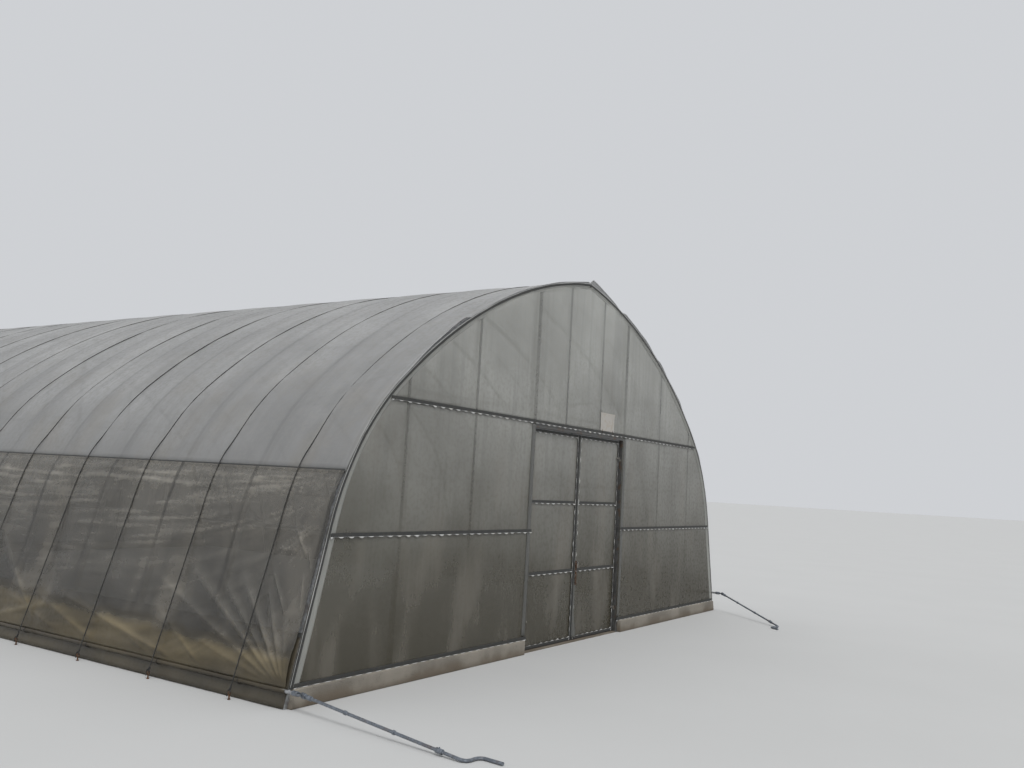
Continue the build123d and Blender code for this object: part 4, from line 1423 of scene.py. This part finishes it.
class TUNNEL_OT_door_skins(bpy.types.Operator):
    """Films on the door leaves, slack in their panels, the flap over the meeting edge, and the chain"""

    bl_idname = "tunnel.door_skins"
    bl_label = "Door films"

    def execute(self, context):
        film = context.scene.tunnel_film
        for hand, side in (("left", -1), ("right", 1)):
            low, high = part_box(f"door_{hand}_film")
            step = (high[2] - low[2] - RAIL_WIDTH) / LEAF_PANELS

            def place(u, v):
                x = low[0] + u * (high[0] - low[0])
                z = low[2] + v * (high[2] - low[2])
                held = np.maximum(near(u, 0.0, 0.09), near(u, 1.0, 0.09))
                for rail in range(LEAF_PANELS + 1):
                    held = np.maximum(held, near(z, low[2] + RAIL_WIDTH / 2 + rail * step, 0.09))
                puff = 0.4 + 0.6 * soft_noise(x * 2.1, z * 1.3, film.seed + 30 + side)
                tight = soft_noise(x * 17, z * 2.2, film.seed + 33 + side) * 0.25
                y = (low[1] + high[1]) / 2 - film.gable_slack * 0.7 * (1 - held) * (puff + tight)
                return x, y, z

            piece = film_sheet(f"door_skin_{hand}", 40, 84, place, film.thickness)
            dress(face_out(piece), "door_film", "gable_film", f"door_{hand}_film", body=f"door_{hand}")
        self.flap(film)
        self.chain(context.scene.tunnel_trim)
        return {"FINISHED"}

    def flap(self, film):
        """Strip of film down the meeting edge, loose and curled at its foot."""
        low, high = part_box("door_right_channels")
        height = high[2] - low[2] - 0.04

        def place(u, v):
            z = low[2] + 0.02 + v * height
            wander = soft_noise(z * 1.7, 0, film.seed + 35) * 0.008
            curl = near(v, 0.0, 0.13)
            x = low[0] + 0.001 + u * (0.022 + 0.02 * curl) + wander * u
            loose = 0.003 + 0.010 * np.abs(soft_noise(z * 5, 0, film.seed + 36))
            return x, low[1] - (0.0012 + u * loose + curl * u * 0.02), z

        piece = film_sheet("meeting_flap", 6, 90, place, 0.001)
        # Painted dark as the shade in the gap between the leaves
        dress(face_out(piece), "shaded_double_film", "gable_film", body="door_right")

    def chain(self, trim):
        """Shackle of the padlock and the chain that hangs from it."""
        low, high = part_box("door_hasp")
        x, y, top = (low[0] + high[0]) / 2, low[1] + 0.007, low[2] + 0.046
        half = SHACKLE_WIDTH / 2
        arc = [(x + half * cos(a), y, top + 0.013 + half * sin(a)) for a in np.linspace(0, pi, 9)]
        legs = [(x + half, y, top - 0.004), (x - half, y, top - 0.004)]
        shackle = bent_wire("shackle", [legs[0], *arc, legs[1]], 0.003, 8)
        dress(smooth(shackle, 60), "crank_steel", "door_hardware", body="door_right")
        link = ring("link", (0, 0, 0), (1, 0, 0), 0.0095, 0.0028, 14, 6)
        for vertex in link.data.vertices:
            vertex.co.z *= LINK_STRETCH
        placings = []
        for index in range(trim.chain_links):
            place = (x - 0.030 + 0.0015 * sin(index * 1.3), y - 0.004, top + 0.012 - index * LINK_PITCH)
            turn = Matrix.Rotation(pi / 2 * (index % 2) + 0.2, 4, "Z")
            placings.append(Matrix.Translation(place) @ turn)
        chain = repeated("door_chain", link, placings)
        dress(smooth(chain, 60), "rusty_steel", "door_hardware", body="door_right")


# Gable foot, plate and cranks

KERB_EDGE = 0.006  # width of a kerb's worn edges
KERB_STEP = 0.05
KERB_LEVELS = (0.04, 0.085)


class TUNNEL_OT_kerbs(bpy.types.Operator):
    """Concrete kerbs under the gables, with worn edges and uneven faces"""

    bl_idname = "tunnel.kerbs"
    bl_label = "Kerbs"

    def execute(self, context):
        for node in ("front_kerbs", "back_kerb"):
            source = frame["nodes"][node]
            piece = source.copy()
            piece.data = source.data.copy()
            bpy.context.collection.objects.link(piece)
            piece.parent = None
            piece.name = node + "_worn"
            edit_all(face_out(piece))
            bpy.ops.mesh.dissolve_limited(angle_limit=radians(2))
            bpy.ops.mesh.select_all(action="SELECT")
            bpy.ops.mesh.bevel(offset=KERB_EDGE, segments=2, affect="EDGES")
            bpy.ops.mesh.select_all(action="SELECT")
            bpy.ops.mesh.quads_convert_to_tris()
            bpy.ops.object.mode_set(mode="OBJECT")
            self.cut_up(piece)
            self.roughen(piece, [corner[1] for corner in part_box(node)])
            dress(smooth(piece, 30), "weathered_concrete", "concrete", node)
        return {"FINISHED"}

    def cut_up(self, piece):
        """Cut a long kerb across at even steps, and level at two heights."""
        work = bmesh.new()
        work.from_mesh(piece.data)
        cuts = [((float(x), 0, 0), (1, 0, 0)) for x in np.arange(-4.0, 4.01, KERB_STEP)]
        cuts += [((0, 0, z), (0, 0, 1)) for z in KERB_LEVELS]
        for place, way in cuts:
            geometry = work.verts[:] + work.edges[:] + work.faces[:]
            bmesh.ops.bisect_plane(work, geom=geometry, plane_co=place, plane_no=way)
        work.to_mesh(piece.data)
        work.free()

    def roughen(self, piece, faces):
        """Wear the faces and the top of a kerb inwards, unevenly."""
        places = np.array([vertex.co[:] for vertex in piece.data.vertices])
        x, y, z = places.T
        shift = soft_noise(x * 5, z * 9 + y * 7, 91) * 0.0022
        shift += soft_noise(x * 23, z * 31 + y * 17, 92) * 0.0009
        highlight_and_wear = np.maximum(0, shift)
        top = fade(z, 0.1, 0.125)
        places[:, 1] -= np.sign(y - sum(faces) / 2) * highlight_and_wear
        places[:, 2] -= highlight_and_wear * top
        piece.data.vertices.foreach_set("co", places.ravel())
        piece.data.update()


class TUNNEL_OT_plate(bpy.types.Operator):
    """Faded bare plate over the door, slightly bent, tied on with wire"""

    bl_idname = "tunnel.plate"
    bl_label = "Bare plate"

    def execute(self, context):
        low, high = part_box("number_plate")

        def place(u, v):
            x = low[0] + u * (high[0] - low[0])
            z = low[2] + v * (high[2] - low[2])
            corner = near(u, 1.0, 0.3) * near(v, 1.0, 0.35)
            bow = 0.0035 * (np.sin(u * pi) * 0.8 + 0.3 * soft_noise(u * 3, v * 3, 95))
            return x, high[1] - 0.0012 - bow - corner * 0.009, z

        piece = film_sheet("plate_worn", 34, 22, place, 0.0014)
        dress(smooth(face_out(piece), 40), "faded_plate", "bare_plate", "number_plate")
        loop = (
            (-0.006, -0.003, 0.016), (-0.004, -0.006, -0.004), (-0.001, -0.011, -0.018),
            (0.003, -0.010, -0.032), (0.006, -0.006, -0.012), (0.005, -0.004, 0.016),
        )
        ties = []
        for share in (0.12, 0.88):
            middle = low[0] + share * (high[0] - low[0])
            points = [(middle + x, low[1] + y, low[2] + z) for x, y, z in loop]
            ties.append(bent_wire("tie", points, 0.0011, 6))
        dress(smooth(joined("plate_ties", ties), 60), "rusty_steel", "anchor_steel")
        return {"FINISHED"}


# Crank rods as hand, side and sideways turn, and their trim as distance along, size and radius
CRANKS = (("left", -1, radians(-5)), ("right", 1, radians(40)))
CRANK_LENGTH = 1.45
CRANK_RADIUS = 0.011
COLLARS = ((0.062, 0.034, 0.0165), (0.42, 0.018, 0.0145), (0.86, 0.018, 0.0145), (1.22, 0.052, 0.0165))
SCREW = (1.246, 0.023, 0.0042)


class TUNNEL_OT_crank_trim(bpy.types.Operator):
    """Collars, couplings and pins on the crank rods"""

    bl_idname = "tunnel.crank_trim"
    bl_label = "Crank trim"

    def execute(self, context):
        for hand, side, turn in CRANKS:
            origin = Vector(joint_place(f"crank_{hand}_lift"))
            along = Vector((0, -1, 0))
            along.rotate(Matrix.Rotation(-side * turn, 3, "Z"))
            dip = asin((origin.z - CRANK_RADIUS) / (CRANK_LENGTH * cos(turn)))
            along.rotate(Matrix.Rotation(dip, 3, "X"))
            parts = []
            for distance, width, radius in COLLARS:
                start = origin + along * distance
                parts.append(rod("collar", start, start + along * width, radius, 18, 0.0015))
            distance, height, radius = SCREW
            foot = origin + along * distance
            parts.append(rod("screw", foot, foot + Vector((0, 0, height)), radius, 6))
            piece = joined(f"crank_collars_{hand}", parts)
            dress(smooth(piece, 40), "crank_steel", "crank_steel", body=f"crank_{hand}")
        return {"FINISHED"}


# Stage, with the photograph's camera: turns in degrees, place in metres, focal length in pixels

YAW, PITCH, ROLL = 57.033, 6.210, 3.199
EYE = (-8.652, -10.090, 1.597)
FOCAL_PIXELS, PICTURE_WIDTH = 918.86, 1024


class TUNNEL_OT_stage(bpy.types.Operator):
    """Pale floor, soft light and the camera at the photograph's viewing angle"""

    bl_idname = "tunnel.stage"
    bl_label = "Stage"

    def execute(self, context):
        self.floor()
        self.sky(context.scene)
        self.sun(context)
        self.camera(context)
        context.scene.view_settings.view_transform = "Standard"
        return {"FINISHED"}

    def floor(self):
        """Pale floor, wide enough to reach the horizon."""
        deselect()
        bpy.ops.mesh.primitive_plane_add(size=400, location=(0, 0, -0.0005))
        floor = named("floor")
        finish = Finish("floor_pale", (0.46, 0.46, 0.455), 0.9)
        finish.colour(finish.blend(finish.noise(0.7, 6), (0.45, 0.45, 0.445), (0.48, 0.48, 0.475)))
        paint(floor, "floor_pale")

    def sky(self, scene):
        """Overcast light that grows with height, and an even pale backdrop behind it."""
        scene.world = bpy.data.worlds.new("overcast")
        scene.world.use_nodes = True
        world = Nodes(scene.world.node_tree)
        world.nodes.clear()
        ray = world.node("ShaderNodeLightPath").outputs
        straight = world.larger(ray["Is Camera Ray"], ray["Is Transmission Ray"])
        seen = world.larger(straight, ray["Is Glossy Ray"])
        place = world.node("ShaderNodeTexCoord").outputs["Generated"]
        height = world.node("ShaderNodeSeparateXYZ", Vector=place).outputs["Z"]
        rise = world.node("ShaderNodeMapRange", Value=height, From_Max=0.9, To_Min=0.34, To_Max=1.05)
        strength = rise.outputs["Result"]
        light = world.node("ShaderNodeBackground", Color=(0.96, 0.98, 1.0, 1), Strength=strength)
        backdrop = world.node("ShaderNodeBackground", Color=(0.62, 0.635, 0.66, 1), Strength=1.0)
        mix = world.node("ShaderNodeMixShader")
        for socket, value in zip(mix.inputs, (seen, light.outputs[0], backdrop.outputs[0])):
            world.feed(socket, value)
        world.node("ShaderNodeOutputWorld", Surface=mix.outputs[0])

    def sun(self, context):
        """Weak sun behind thin cloud."""
        sun = bpy.data.lights.new("soft_sun", "SUN")
        sun.energy = 1.5
        sun.angle = radians(24)
        lamp = bpy.data.objects.new("soft_sun", sun)
        lamp.rotation_euler = Vector((-0.34, -0.42, 0.84)).to_track_quat("Z", "Y").to_euler()
        context.collection.objects.link(lamp)

    def camera(self, context):
        """Camera at the photograph's place and turn."""
        yaw, pitch, roll = radians(YAW), radians(PITCH), radians(ROLL)
        ahead = Vector((sin(yaw) * cos(pitch), cos(yaw) * cos(pitch), sin(pitch)))
        level = Vector((cos(yaw), -sin(yaw), 0))
        upright = level.cross(ahead)
        right = cos(roll) * level + sin(roll) * upright
        up = -sin(roll) * level + cos(roll) * upright
        camera = bpy.data.cameras.new("camera")
        camera.sensor_width = 36
        camera.lens = camera.sensor_width * FOCAL_PIXELS / PICTURE_WIDTH
        camera.clip_end = 1000
        eye = bpy.data.objects.new("camera", camera)
        turn = Matrix((right, up, -ahead)).transposed().to_4x4()
        eye.matrix_world = Matrix.Translation(EYE) @ turn
        context.collection.objects.link(eye)
        context.scene.camera = eye


class TUNNEL_PT_panel(bpy.types.Panel):
    """Panel that shows the tunnel's settings and a button for each building step"""

    bl_label = "Polytunnel greenhouse"
    bl_idname = "TUNNEL_PT_panel"
    bl_space_type = "VIEW_3D"
    bl_region_type = "UI"
    bl_category = "Greenhouse"

    def draw(self, context):
        column = self.layout.column()
        for group in ("tunnel_form", "tunnel_film", "tunnel_trim", "tunnel_colours"):
            settings = getattr(context.scene, group)
            for name in settings.__annotations__:
                column.prop(settings, name)
        for operator in OPERATORS:
            column.operator(operator.bl_idname)


GROUPS = (
    ("tunnel_form", TunnelForm),
    ("tunnel_film", TunnelFilm),
    ("tunnel_trim", TunnelTrim),
    ("tunnel_colours", TunnelColours),
)
OPERATORS = (
    TUNNEL_OT_finishes,
    TUNNEL_OT_roof_skin,
    TUNNEL_OT_gable_skins,
    TUNNEL_OT_curtains,
    TUNNEL_OT_skirts,
    TUNNEL_OT_pipe_rolls,
    TUNNEL_OT_lock_wires,
    TUNNEL_OT_ropes,
    TUNNEL_OT_clamps,
    TUNNEL_OT_door_skins,
    TUNNEL_OT_kerbs,
    TUNNEL_OT_plate,
    TUNNEL_OT_crank_trim,
    TUNNEL_OT_stage,
)


def register():
    for name, group in GROUPS:
        bpy.utils.register_class(group)
        setattr(bpy.types.Scene, name, PointerProperty(type=group))
    for operator in OPERATORS:
        bpy.utils.register_class(operator)
    bpy.utils.register_class(TUNNEL_PT_panel)


def unregister():
    bpy.utils.unregister_class(TUNNEL_PT_panel)
    for operator in reversed(OPERATORS):
        bpy.utils.unregister_class(operator)
    for name, group in reversed(GROUPS):
        delattr(bpy.types.Scene, name)
        bpy.utils.unregister_class(group)


def main():
    """Build everything in order."""
    global outline
    register()
    outline = Outline(bpy.context.scene.tunnel_form)
    for operator in OPERATORS:
        group, name = operator.bl_idname.split(".")
        getattr(getattr(bpy.ops, group), name)()


if __name__ == "__main__":
    main()
